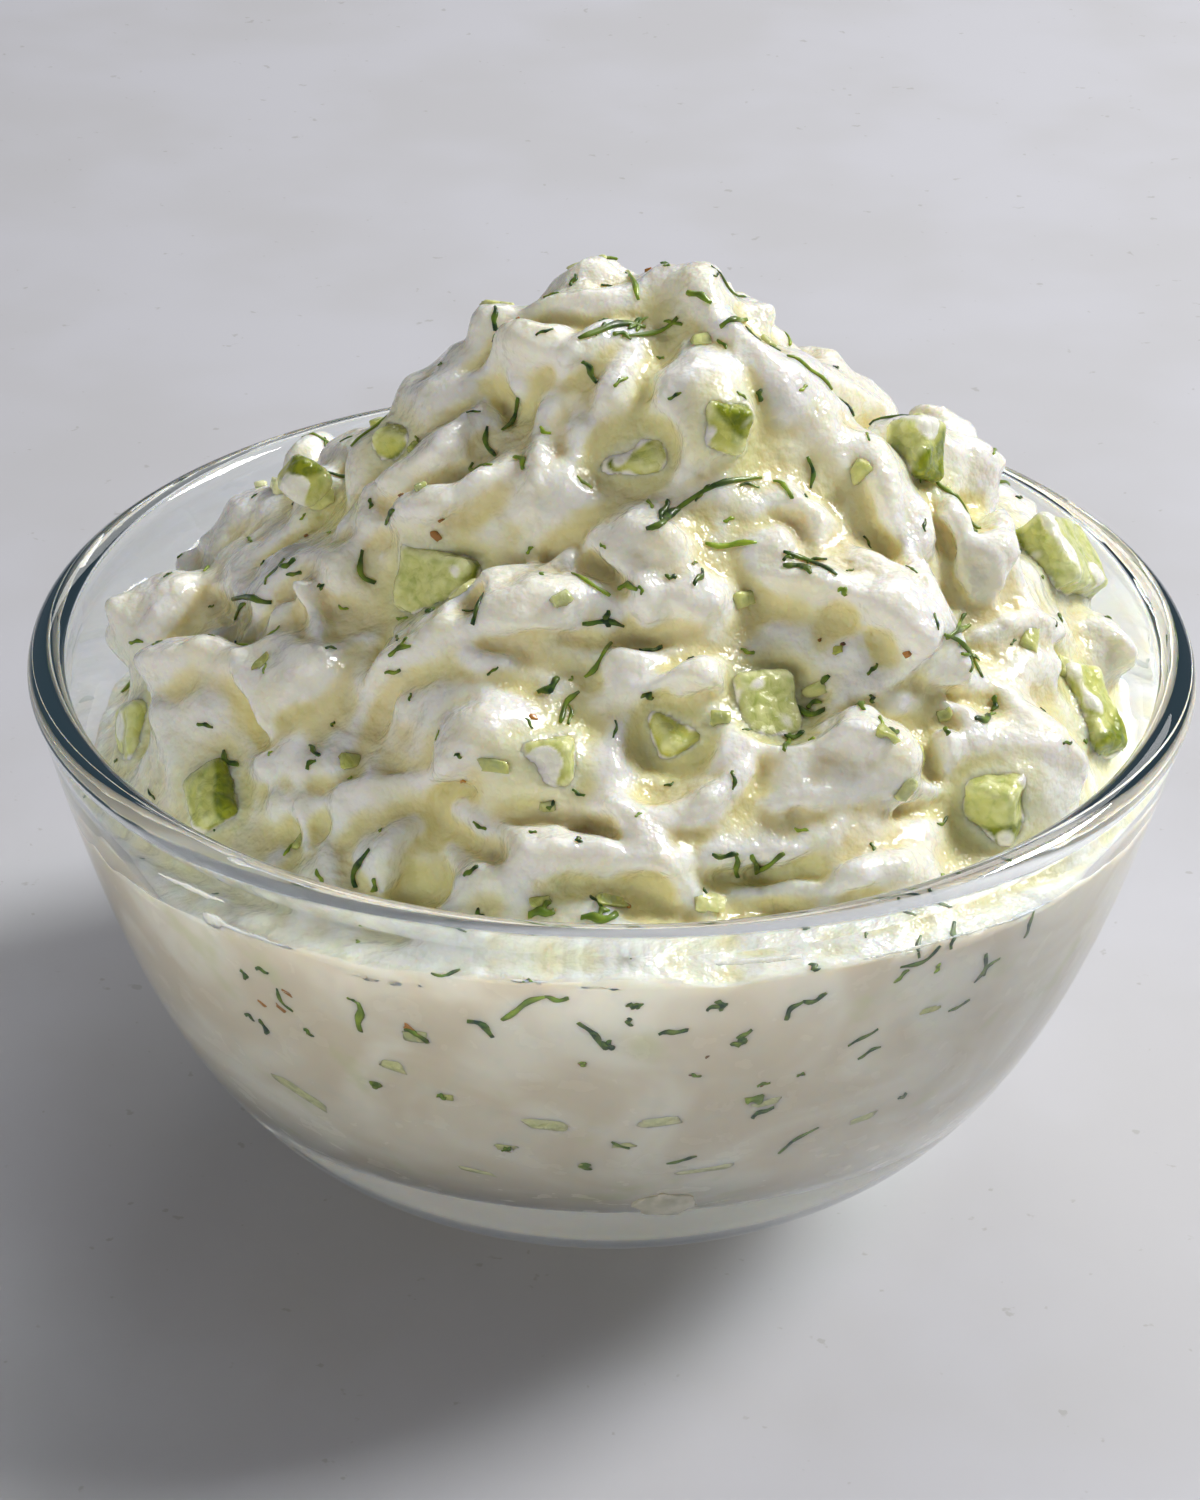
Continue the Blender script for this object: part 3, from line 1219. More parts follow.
# %% The bits that the photograph shows
BITS = (
    (721, 718, 2.0, 1.5, 20, 0.9, 0.8), (905, 790, 2.4, 1.7, 60, 0.9, 0.7),
    (548, 807, 1.6, 1.2, 0, 0.9, 0.9), (708, 903, 3.4, 2.0, 10, 0.8, 0.0),
    (887, 733, 2.6, 1.2, 5, 0.9, 0.5), (494, 766, 3.0, 1.4, 0, 0.8, 0.5),
    (285, 488, 3.4, 3.0, 40, 0.5, 0.0), (322, 500, 2.6, 2.0, 20, 0.8, 0.3),
    (560, 600, 2.0, 1.4, 30, 0.7, 0.6), (262, 662, 2.2, 1.0, 80, 0.9, 0.5),
    (352, 762, 2.4, 1.6, 0, 0.9, 0.4), (300, 842, 1.8, 1.2, 70, 0.7, 0.3),
    (612, 902, 3.2, 1.3, 8, 0.9, 0.5), (540, 901, 2.2, 1.1, 0, 0.9, 0.5),
    (945, 715, 1.8, 1.2, 30, 0.8, 0.5), (1030, 640, 3.6, 2.2, 60, 0.6, 0.1),
    (1062, 668, 3.0, 1.8, 80, 0.7, 0.2), (860, 470, 2.6, 2.0, 50, 0.7, 0.1),
    (700, 340, 2.2, 1.4, 20, 0.5, 0.1), (838, 650, 1.2, 0.9, 0, 0.9, 0.9),
    (742, 600, 2.4, 1.6, 10, 0.7, 0.1), (815, 690, 2.2, 1.6, 30, 0.6, 0.0),
)
BITS_BEHIND_GLASS = (
    (548, 1127, 4.0, 2.4, 0, 0.6, 0.1), (300, 1092, 5.5, 2.6, -30, 0.5, 0.3),
    (707, 1170, 5.0, 1.2, 5, 0.7, 0.1), (763, 1105, 2.6, 1.4, 10, 0.8, 0.3),
    (506, 1149, 2.2, 1.7, 0, 0.8, 0.3), (585, 1166, 1.8, 1.5, 0, 0.9, 0.4),
    (414, 1036, 2.6, 1.6, 30, 0.9, 0.7), (446, 1097, 1.8, 1.2, 10, 0.8, 0.4),
    (622, 1146, 2.6, 1.0, 20, 0.8, 0.4), (392, 1066, 2.6, 1.6, 20, 0.5, 0.1),
    (660, 1122, 3.4, 1.4, 10, 0.6, 0.1), (478, 1172, 3.2, 1.4, 30, 0.6, 0.1),
    (862, 1118, 2.8, 1.4, -40, 0.5, 0.1), (930, 1010, 2.4, 1.2, -30, 0.6, 0.2),
)
SPECKS = (  # pixel, length in mm, and 0 for orange to 1 for brown
    (533, 717, 1.3, 0.0), (907, 654, 1.4, 0.25), (436, 536, 1.6, 0.4), (843, 644, 0.8, 1.0),
    (463, 781, 1.2, 0.1), (441, 520, 0.9, 0.6), (627, 905, 1.1, 0.2), (820, 640, 0.7, 0.7),
)
SPECKS_BEHIND_GLASS = (
    (412, 1030, 1.9, 0.15), (287, 993, 1.6, 0.2), (281, 1008, 1.4, 0.3), (692, 1075, 0.7, 0.9),
    (707, 1057, 0.6, 0.8), (763, 1085, 0.8, 0.6), (262, 1004, 1.1, 0.1), (582, 1064, 0.9, 0.4),
)
print("described bits:", len(BITS) + len(BITS_BEHIND_GLASS))
print("described specks:", len(SPECKS) + len(SPECKS_BEHIND_GLASS))

# %% Model one chip
bpy.ops.object.select_all(action="DESELECT")
bpy.ops.mesh.primitive_cube_add(size=1.0)
unit_chip = bpy.context.object
bpy.ops.object.mode_set(mode="EDIT")
bpy.ops.mesh.bevel(offset=0.22, segments=2, affect="EDGES")
bpy.ops.object.mode_set(mode="OBJECT")


print("unit chip:", triangles(unit_chip), "triangles")

# %% Where a line of sight meets the dip
def bent_sight(glass_tree, pixel, past):
    """Where a line of sight goes on inside the glass, past mm from its skin, and how."""
    along = sight(*pixel)
    start, out, _, _ = glass_tree.ray_cast(EYE, along)
    if start is None:
        return None, None
    slow = 1.0 / GLASS_INDEX
    facing = -along.dot(out)
    along = along * slow + out * (slow * facing - math.sqrt(1.0 - slow**2 * (1.0 - facing**2)))
    return start + along * past * MM, along


def seen_place(tree, pixel, through=None):
    """Where a line of sight meets the dip, bent by the glass on its way if there is some."""
    start, along = bent_sight(through, pixel, 0.01) if through else (EYE, sight(*pixel))
    if start is None:
        return None, None
    return tree.ray_cast(start, along)[:2]


aimed_at = seen_place(dip_tree, (PHOTO[0] / 2, PHOTO[1] / 2))[0]
print("the photograph's middle shows, mm:", [round(c / MM) for c in aimed_at])

# %% Collect chips in one mesh
class Crumbs:
    """Collects bent copies of the unit chip into one mesh, with numbers for each point."""

    def __init__(self, *names):
        self.shapes, self.numbers = bmesh.new(), {name: [] for name in names}

    def add(self, here, size, draw, **numbers):
        """One chip at a frame, of a size along, across and up."""
        first = len(self.shapes.verts)
        self.shapes.from_mesh(unit_chip.data)
        self.shapes.verts.ensure_lookup_table()
        shift = Vector((draw.random(), draw.random(), draw.random())) * 40.0
        for vertex in self.shapes.verts[first:]:
            bent = vertex.co + noise.noise_vector(vertex.co * 1.6 + shift) * 0.34
            vertex.co = here @ Vector(bent[i] * size[i] for i in range(3))
        for name, values in self.numbers.items():
            values += [numbers[name]] * (len(self.shapes.verts) - first)

    def piece(self, name, material, slot):
        """The chips as one object."""
        mesh = bpy.data.meshes.new(name)
        self.shapes.to_mesh(mesh)
        self.shapes.free()
        for label, values in self.numbers.items():
            store(mesh, label, values)
        obj = new_object(name, mesh)
        mesh.shade_smooth()
        mesh.materials.append(material)
        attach(obj, "root")
        return obj


print("chips can be collected")

# %% How a chip that the photograph shows is laid
def lay_seen_chip(crumbs, row, draw, through, **numbers):
    """One described chip, half sunk in the cream, or flush with the glass."""
    u, v, length, width, turn = row
    place, normal = seen_place(dip_tree, (u, v), through)
    if place is None:
        return
    angle = math.radians(turn)
    beside = sight(u + math.cos(angle), v - math.sin(angle)) - sight(u, v)
    high = 0.5 * MM if through else min(length, width) * 0.8 * MM
    sink = 0.5 * high - 0.07 * MM if through else 0.12 * high
    here = frame_of(place - normal * sink, beside, normal)
    crumbs.add(here, (length * MM, width * MM, high), draw, **numbers)


print("described chips can be laid")

# %% Lay the bits of pickle
UNSEEN_FROM = 6.0 * MM  # behind this, the wall of the dip is turned away in the photograph


def on_wall(i, lowest):
    """A place of the dip's wall and its normal, spread evenly over 30 mm of its height."""
    angle, height = i * GOLDEN_ANGLE, (lowest + 30.0 * ((i * EVEN_STEP) % 1.0)) * MM
    away = Vector((math.cos(angle), math.sin(angle), 0.0))
    return dip_tree.ray_cast(away * 0.09 + UP * height, -away)[:2]


draw = random.Random(53)
bits = Crumbs("rind", "film", "green", "edge")
for *row, green, rind in BITS:
    lay_seen_chip(bits, row, draw, None, rind=rind, film=draw.uniform(0.0, 0.3), green=green, edge=0.3)
for *row, green, rind in BITS_BEHIND_GLASS:
    lay_seen_chip(bits, row, draw, bowl_tree, rind=rind, film=draw.uniform(0.15, 0.4), green=green, edge=0.0)
LOOSE_BITS = 170
for i in range(LOOSE_BITS):
    here = dropped_at(dip_tree, *even_spot(i, LOOSE_BITS, 56.0 * MM), i * 2.1)
    size = [draw.uniform(*span) * MM for span in ((1.2, 3.6), (1.0, 2.0), (0.8, 1.4))]
    look = dict(rind=draw.random() ** 2, film=draw.random() * 0.5, green=draw.uniform(0.4, 0.9), edge=0.3)
    if not in_view(dip_tree, here):
        bits.add(here, size, draw, **look)
LOOSE_BITS_BEHIND = 60
for i in range(LOOSE_BITS_BEHIND):
    place, normal = on_wall(i, 14.0)
    size = (draw.uniform(1.5, 4.5) * MM, draw.uniform(1.0, 2.4) * MM, 0.5 * MM)
    look = dict(rind=draw.random() ** 2, film=draw.uniform(0.1, 0.5), green=draw.uniform(0.4, 0.9), edge=0.0)
    if place is not None and place.y > UNSEEN_FROM:
        bits.add(frame_of(place - normal * 0.18 * MM, UP.cross(normal), normal), size, draw, **look)
pickle_bits = bits.piece("pickle_bits", pickle, "pickle_flesh")
print("bits of pickle:", triangles(pickle_bits), "triangles")

# %% Spice
spice, tree, surface = new_material(
    "spice_crumb", Metallic=0.0, IOR=1.45, Subsurface_Weight=0.4, Subsurface_Scale=0.0005,
    Subsurface_Radius=(1.0, 0.5, 0.2), Coat_Weight=0.6, Coat_Roughness=0.08,
)
dark = add_node(tree, "ShaderNodeAttribute", attribute_name="dark").outputs["Fac"]
colour = blend(tree, dark, (0.55, 0.24, 0.05), (0.06, 0.028, 0.012))
vary = use_group(tree, clouds, Size_mm=0.6, Low=0.35, High=0.65, Shift=5.0)
colour = tint(tree, vary, 0.4, colour, (0.34, 0.17, 0.04))
tree.links.new(colour, surface.inputs["Base Color"])
vary_roughness(tree, surface, vary, 0.2, 0.2)
specks = Crumbs("dark")
for u, v, length, dark in SPECKS:
    lay_seen_chip(specks, (u, v, length * 0.7, length * 0.45, draw.uniform(0, 180)), draw, None, dark=dark)
for u, v, length, dark in SPECKS_BEHIND_GLASS:
    lay_seen_chip(specks, (u, v, length, length * 0.5, draw.uniform(0, 180)), draw, bowl_tree, dark=dark)
LOOSE_SPECKS = 40
for i in range(LOOSE_SPECKS):
    here = dropped_at(dip_tree, *even_spot(i, LOOSE_SPECKS, 54.0 * MM, 1.0), i * 1.7)
    size, dark = draw.uniform(0.4, 0.9) * MM, draw.random()
    if not in_view(dip_tree, here):
        specks.add(here, (size, size * 0.6, size * 0.6), draw, dark=dark)
spice_specks = specks.piece("spice_specks", spice, "dip_cream")
print("spice:", triangles(spice_specks), "triangles")
bpy.data.objects.remove(unit_chip)

# %% [markdown]
# ## Smears on the glass
#
# Where the spoon touched the inside of the glass it left thin smears above the dip, and one
# drop has run down outside near the foot, where it has dried a little and turned dull. Each
# is a flat lump laid on the wall. They are joined by a remesh, made uneven, and the inner ones
# are cut to the hollow as the dip was.

# %% The smears that the photograph shows, and how one is laid
INNER_SMEARS = (  # pixel, length and width in mm, turn in degrees, rise in mm
    (905, 950, 11.0, 0.6, 4, 0.18), (966, 934, 13.0, 0.5, 6, 0.18), (1030, 912, 8.0, 0.7, 3, 0.20),
    (872, 966, 8.0, 0.6, 8, 0.20), (214, 922, 3.4, 2.2, -8, 0.45), (190, 888, 11.0, 0.9, -6, 0.24),
    (250, 935, 12.0, 0.8, -4, 0.22), (560, 985, 12.0, 0.8, 3, 0.24), (760, 962, 10.0, 0.9, 2, 0.24),
    (390, 982, 9.0, 1.0, -6, 0.26),
)
OUTER_DROP = (664, 1204, 6.4, 4.6, 4, 0.62)


def lay_smear(shapes, place, normal, level, length, width, turn, rise):
    """A flat lump on a wall, whose turn is from level; its length, width and rise in mm."""
    across = normal.cross(level).normalized()
    angle = math.radians(turn)
    along = level * math.cos(angle) + across * math.sin(angle)
    first = len(shapes.verts)
    shapes.from_mesh(unit_smear.data)
    shapes.verts.ensure_lookup_table()
    size = (length * MM / 2, width * MM / 2, rise * MM, 1.0)
    here = frame_of(place, along, normal) @ Matrix.Diagonal(size)
    for vertex in shapes.verts[first:]:
        stray = noise.noise_vector(vertex.co * 1.7 + place / MM) * 0.35
        vertex.co = here @ (vertex.co + Vector((stray.x, stray.y, 0.0)))


def smear_piece(name, shapes, cell, stray):
    """Joined and uneven smears as one object."""
    mesh = bpy.data.meshes.new(name)
    shapes.to_mesh(mesh)
    shapes.free()
    obj = soften(new_object(name, mesh), cell, 3)
    points, normals = arrays_of(mesh)
    for i, (place, normal) in enumerate(zip(points, normals)):
        points[i] += normal * stray * noise.noise(Vector(place) / (1.3 * MM))
    put_points(mesh, points)
    return obj


def finish_smear(obj, finish):
    """A finish on a smear, which counts as a crest of the cream."""
    obj.data.shade_smooth()
    obj.data.materials.clear()
    obj.data.materials.append(finish)
    store(obj.data, "hollow", [0.25] * len(obj.data.vertices))
    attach(obj, "root")


print("described smears:", len(INNER_SMEARS))

# %% Lay the smears
LOOSE_SMEARS = 14

bpy.ops.object.select_all(action="DESELECT")
bpy.ops.mesh.primitive_ico_sphere_add(subdivisions=4, radius=1.0)
unit_smear = bpy.context.object
inner, outer = bmesh.new(), bmesh.new()
for u, v, *size in INNER_SMEARS:
    place, normal = bowl_tree.ray_cast(*bent_sight(bowl_tree, (u, v), 0.05))[:2]
    lay_smear(inner, place, normal, normal.cross(UP).normalized() * -1.0, *size)
for i in range(LOOSE_SMEARS):
    angle = 0.25 + i * (math.pi - 0.5) / LOOSE_SMEARS + draw.uniform(-0.08, 0.08)
    toward = Vector((math.cos(angle), math.sin(angle), 0.0))
    place, normal, _, _ = bowl_tree.ray_cast(UP * draw.uniform(46.0, 52.5) * MM, toward)
    size = (draw.uniform(4.0, 9.0), draw.uniform(1.1, 2.2), draw.uniform(-12, 12), 0.28)
    lay_smear(inner, place, normal, normal.cross(UP).normalized(), *size)
u, v, *size = OUTER_DROP
place, normal, _, _ = bowl_tree.ray_cast(EYE, sight(u, v))
lay_smear(outer, place, normal, normal.cross(UP).normalized() * -1.0, *size)
smears = smear_piece("cream_smears", inner, 0.26 * MM, 0.16 * MM)
cut_to(smears, room)
drop = smear_piece("cream_drop", outer, 0.16 * MM, 0.05 * MM)
bpy.data.objects.remove(unit_smear)
bpy.data.objects.remove(room)
print("smears laid:", len(INNER_SMEARS) + LOOSE_SMEARS, "inside, one outside")

# %% Finish the smears
dull_cream, tree, surface = new_material(
    "dull_cream", Metallic=0.0, IOR=1.45, Roughness=0.3, Subsurface_Weight=0.6,
    Subsurface_Radius=(1.0, 0.8, 0.5), Subsurface_Scale=0.0008, Coat_Weight=0.3, Coat_Roughness=0.1,
)
dried = use_group(tree, clouds, Size_mm=2.2, Low=0.40, High=0.62, Shift=5.0)
tree.links.new(blend(tree, dried, (0.46, 0.45, 0.38), (0.36, 0.36, 0.29)), surface.inputs["Base Color"])
for smear, finish in ((smears, cream), (drop, dull_cream)):
    finish_smear(smear, finish)
    print(smear.name, triangles(smear), "triangles")

# %% [markdown]
# ## The chopped dill
#
# Dill leaves are threads half a millimetre to a millimetre wide. A stalk is a run of rings
# along a line that hugs the dip, thickest in the middle, a little flattened, and some carry
# short side leaves. The ones that the photograph shows are listed by the pixels where they
# start and end, then how far they bow, their width in mm, how light they are (0 dark to 1
# yellow-green) and how many side leaves they carry.

# %% The dill that lies on the heap
DILL = (
    (579, 339, 646, 327, 0.10, 1.25, 0.25, 3), (622, 336, 678, 318, -0.12, 0.9, 0.55, 2),
    (624, 263, 639, 300, 0.03, 0.85, 0.75, 0), (494, 307, 494, 331, 0.05, 0.9, 0.1, 0),
    (720, 326, 746, 319, 0.05, 1.2, 0.4, 0), (760, 389, 759, 402, 0.0, 0.9, 0.1, 0),
    (582, 361, 597, 383, 0.06, 1.0, 0.1, 0), (519, 398, 503, 431, 0.12, 0.95, 0.1, 0),
    (486, 426, 495, 457, -0.12, 0.8, 0.1, 0), (516, 457, 524, 469, 0.2, 1.1, 0.6, 0),
    (647, 530, 679, 508, -0.06, 1.4, 0.1, 1), (674, 510, 761, 477, 0.08, 0.85, 0.25, 2),
    (705, 544, 757, 542, -0.04, 0.95, 1.0, 0), (773, 482, 791, 499, 0.2, 0.85, 0.7, 0),
    (808, 456, 811, 489, 0.08, 0.7, 0.1, 0), (783, 553, 836, 576, 0.06, 0.95, 0.15, 1),
    (783, 566, 812, 573, 0.1, 1.3, 0.1, 0), (571, 574, 609, 597, 0.04, 0.85, 0.95, 0),
    (619, 588, 638, 588, 0.1, 1.1, 0.6, 0), (665, 577, 676, 579, 0.1, 0.9, 0.1, 0),
    (702, 570, 693, 584, 0.1, 0.95, 0.15, 0), (582, 623, 624, 625, 0.05, 0.85, 0.0, 0),
    (607, 610, 607, 627, 0.0, 0.95, 0.0, 0), (838, 588, 847, 595, 0.1, 1.1, 0.7, 0),
    (387, 525, 395, 510, 0.1, 0.9, 0.15, 0), (362, 550, 375, 584, -0.25, 1.0, 0.3, 0),
    (389, 655, 411, 645, 0.05, 0.85, 0.4, 1), (233, 598, 272, 602, 0.03, 1.0, 0.1, 0),
    (236, 620, 246, 603, 0.1, 0.8, 0.3, 0), (385, 673, 401, 670, 0.0, 0.75, 0.5, 0),
    (559, 679, 538, 694, 0.05, 1.25, 0.05, 0), (578, 691, 559, 723, -0.08, 0.85, 0.4, 1),
    (611, 643, 585, 678, 0.04, 0.85, 0.45, 0), (309, 746, 319, 757, 0.05, 0.8, 0.1, 0),
    (306, 769, 316, 760, 0.1, 0.8, 0.1, 0), (223, 751, 239, 766, -0.2, 0.95, 0.25, 0),
    (370, 850, 355, 888, -0.15, 1.0, 0.1, 0), (375, 878, 372, 893, 0.1, 0.85, 0.4, 0),
    (465, 877, 478, 868, 0.1, 1.0, 0.2, 0), (528, 913, 554, 910, -0.05, 1.5, 0.5, 1),
    (581, 918, 617, 915, -0.05, 1.5, 0.5, 1), (545, 807, 555, 805, 0.1, 1.3, 0.05, 0),
    (455, 754, 462, 757, 0.0, 0.7, 0.1, 0), (829, 675, 811, 690, 0.1, 0.95, 0.1, 0),
    (791, 705, 825, 711, -0.15, 1.25, 0.3, 1), (784, 737, 805, 732, -0.1, 0.95, 0.2, 0),
    (871, 694, 873, 703, 0.0, 0.8, 0.1, 0), (995, 695, 992, 712, 0.1, 0.9, 0.15, 0),
    (975, 720, 990, 716, -0.1, 1.25, 0.2, 0), (946, 636, 969, 624, -0.05, 1.0, 0.45, 1),
    (944, 634, 981, 677, 0.12, 0.95, 0.4, 1), (904, 788, 910, 794, 0.0, 1.2, 0.3, 0),
    (642, 694, 653, 697, 0.0, 1.2, 0.15, 0), (712, 855, 738, 854, -0.05, 0.8, 0.1, 0),
    (735, 854, 737, 878, 0.03, 0.85, 0.35, 0), (752, 854, 757, 875, 0.05, 0.85, 0.3, 0),
    (756, 875, 785, 854, 0.05, 0.9, 0.45, 0), (886, 733, 897, 731, 0.0, 1.1, 0.3, 0),
    (721, 716, 728, 719, 0.0, 1.1, 0.5, 0), (1004, 818, 1005, 832, 0.0, 0.8, 0.05, 0),
    (319, 584, 323, 589, 0.0, 1.0, 0.1, 0), (280, 568, 296, 560, 0.0, 0.9, 0.1, 0),
    (577, 275, 571, 286, 0.0, 0.9, 0.1, 0), (946, 727, 948, 736, 0.0, 0.8, 0.3, 0),
    (577, 838, 580, 843, 0.0, 0.9, 0.05, 0), (688, 291, 712, 302, 0.0, 1.1, 0.5, 0),
)
print("described dill threads:", len(DILL))

# %% The dill behind the glass and just under the cream
DILL_BEHIND_GLASS = (
    (502, 1020, 546, 996, 0.05, 1.05, 0.55, 0), (544, 997, 569, 999, -0.05, 1.0, 0.45, 0),
    (579, 1022, 606, 1049, 0.03, 0.95, 0.1, 0), (606, 1050, 611, 1040, 0.0, 0.8, 0.1, 0),
    (358, 1002, 360, 1031, 0.02, 1.25, 0.6, 0), (347, 997, 357, 1003, 0.0, 0.6, 0.3, 0),
    (405, 1031, 426, 1043, 0.15, 1.2, 0.4, 0), (467, 1020, 494, 1037, 0.1, 1.2, 0.1, 0),
    (431, 974, 459, 972, -0.1, 0.75, 0.2, 0), (256, 969, 268, 974, 0.1, 1.0, 0.1, 0),
    (240, 969, 246, 980, 0.1, 1.1, 0.05, 0), (276, 988, 293, 1012, -0.1, 0.8, 0.3, 0),
    (245, 1014, 254, 1021, 0.1, 1.1, 0.05, 0), (259, 1019, 266, 1034, 0.1, 1.1, 0.05, 0),
    (304, 1030, 311, 1036, 0.1, 1.2, 0.3, 0), (370, 1082, 377, 1089, 0.2, 1.6, 0.4, 0),
    (611, 1142, 629, 1149, 0.0, 0.8, 0.4, 0), (580, 1062, 585, 1066, 0.0, 1.0, 0.6, 0),
    (629, 1003, 634, 1009, 0.1, 1.2, 0.05, 0), (627, 1018, 630, 1026, 0.1, 0.9, 0.1, 0),
    (785, 1020, 803, 1001, 0.1, 1.0, 0.1, 0), (802, 1002, 827, 993, -0.1, 1.0, 0.1, 0),
    (848, 1046, 878, 1029, 0.0, 0.8, 0.15, 0), (858, 1059, 881, 1046, 0.03, 0.85, 0.15, 0),
    (900, 968, 941, 946, -0.1, 0.9, 0.15, 1), (895, 983, 909, 970, 0.05, 0.9, 0.5, 0),
    (951, 949, 963, 927, 0.08, 0.9, 0.15, 0), (1024, 938, 1033, 912, -0.05, 0.9, 0.1, 0),
    (975, 983, 987, 953, -0.1, 0.9, 0.15, 0), (983, 976, 1000, 958, 0.1, 0.9, 0.2, 0),
    (935, 973, 940, 963, 0.0, 0.9, 0.7, 0), (707, 1011, 727, 1005, 0.1, 0.9, 0.15, 0),
    (719, 1000, 723, 1010, 0.0, 1.2, 0.05, 0), (732, 1046, 746, 1043, 0.1, 1.4, 0.3, 1),
    (740, 1035, 742, 1042, 0.0, 1.0, 0.1, 0), (659, 1035, 688, 1031, 0.05, 1.1, 0.2, 0),
    (636, 1003, 640, 1008, 0.0, 1.2, 0.1, 0), (600, 1043, 612, 1050, 0.1, 1.2, 0.05, 0),
    (752, 1118, 774, 1107, 0.05, 1.2, 0.05, 0), (745, 1100, 762, 1102, 0.1, 2.0, 0.6, 0),
    (899, 1099, 907, 1093, 0.0, 1.3, 0.1, 0), (778, 1153, 818, 1127, 0.03, 0.9, 0.2, 0),
    (667, 1164, 697, 1156, 0.0, 0.9, 0.2, 0), (812, 966, 818, 970, 0.0, 1.2, 0.1, 0),
    (797, 1075, 805, 1074, 0.0, 0.8, 0.3, 0), (691, 1074, 700, 1077, 0.0, 0.7, 0.5, 0),
    (757, 1086, 770, 1082, 0.0, 0.8, 0.5, 0), (503, 1148, 511, 1150, 0.0, 1.7, 0.4, 0),
    (583, 1163, 587, 1169, 0.0, 1.5, 0.4, 0), (522, 981, 533, 981, 0.0, 0.7, 0.3, 0),
    (948, 1012, 970, 1000, 0.0, 0.8, 0.2, 0), (437, 1095, 446, 1098, 0.0, 1.4, 0.5, 0),
    (626, 965, 633, 968, 0.0, 0.9, 0.4, 0),
)
print("described dill threads behind the glass:", len(DILL_BEHIND_GLASS))

# %% Collect threads in one mesh
RING = 6
FLATTENED = 0.6


class Sprigs:
    """Collects dill threads into one mesh, with a lightness for each."""

    def __init__(self):
        self.points, self.faces, self.light = [], [], []

    def add(self, spots, ups, width, light):
        """One thread along places, flattened against the surface that it lies on."""
        first, last = len(self.points), len(spots) - 1
        for i, (spot, up) in enumerate(zip(spots, ups)):
            along = (spots[min(i + 1, last)] - spots[max(i - 1, 0)]).normalized()
            side = along.cross(up).normalized()
            high = side.cross(along)
            share, phase = i / last, 1.7 * first
            reach = width / 2 * (0.35 + 0.65 * math.sin(math.pi * (0.08 + 0.84 * share)) ** 0.7)
            reach *= 1.0 + 0.22 * math.sin(phase + 11.0 * share)
            spot = spot + side * width * 0.22 * math.sin(phase + 7.0 * share)
            tone = min(max(light + 0.22 * math.sin(phase + 8.0 * share), 0.0), 1.0)
            for k in range(RING):
                angle = math.tau * k / RING
                level = side * math.cos(angle) * reach
                self.points.append(spot + level + high * math.sin(angle) * reach * FLATTENED)
                self.light.append(tone)
        for i in range(last):
            for k in range(RING):
                a, b = first + i * RING + k, first + i * RING + (k + 1) % RING
                self.faces.append((a, b, b + RING, a + RING))
        self.faces.append(tuple(first + k for k in reversed(range(RING))))
        self.faces.append(tuple(first + last * RING + k for k in range(RING)))

    def piece(self, name, material):
        """The threads as one object."""
        mesh = bpy.data.meshes.new(name)
        mesh.from_pydata(self.points, [], self.faces)
        store(mesh, "light", self.light)
        obj = new_object(name, mesh)
        only(obj)
        bpy.ops.object.mode_set(mode="EDIT")
        bpy.ops.mesh.select_all(action="SELECT")
        bpy.ops.mesh.normals_make_consistent(inside=False)
        bpy.ops.object.mode_set(mode="OBJECT")
        mesh.shade_smooth()
        mesh.materials.append(material)
        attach(obj, "root")
        return obj


print("a thread has", RING, "sides")

# %% How a thread is laid
THINNER = 0.68  # the lists' widths take in the soft dark edge of each thread


def bowed(start, end, bow, steps=8):
    """Points from start to end on a bow, as a share of the length, to the run's right."""
    run = end - start
    side = Vector((run.y, -run.x))
    for i in range(steps + 1):
        share = i / steps
        yield start + run * share + side * (4.0 * bow * share * (1.0 - share))


def lay_seen(sprigs, tree, row, lift, draw, through=None):
    """Lay one described thread and its side leaves."""
    u1, v1, u2, v2, bow, width, light, leaves = row
    lines = [(Vector((u1, v1)), Vector((u2, v2)), bow, width)]
    run = Vector((u2 - u1, v2 - v1))
    for k in range(leaves):
        share = 0.25 + 0.5 * k / (leaves - 1) if leaves > 1 else 0.45
        base = Vector((u1, v1)) + run * share
        turn = math.radians(draw.uniform(26, 40) * (1 if k % 2 else -1))
        leaf = Matrix.Rotation(turn, 2) @ run.normalized() * draw.uniform(12, 22)
        lines.append((base, base + leaf, 0.1, width * 0.7))
    for start, end, bend, wide in lines:
        spots, ups = [], []
        for pixel in bowed(start, end, bend):
            place, normal = seen_place(tree, pixel, through)
            if place is not None:
                spots.append(place + normal * lift)
                ups.append(normal)
        if len(spots) > 4:
            sprigs.add(spots, ups, wide * THINNER * MM, light)


def lay_loose(sprigs, tree, here, length, width, bend, light, lift):
    """Lay one thread at a frame on the heap, bent to its surface."""
    spots, ups = [], []
    for i in range(9):
        share = i / 8 - 0.5
        aim = here @ Vector((length * share, bend * length * (0.25 - share * share), 0.0))
        place, normal = nearest_on(tree, aim)
        spots.append(place + normal * lift)
        ups.append(normal)
    sprigs.add(spots, ups, width, light)


print("threads can be laid")

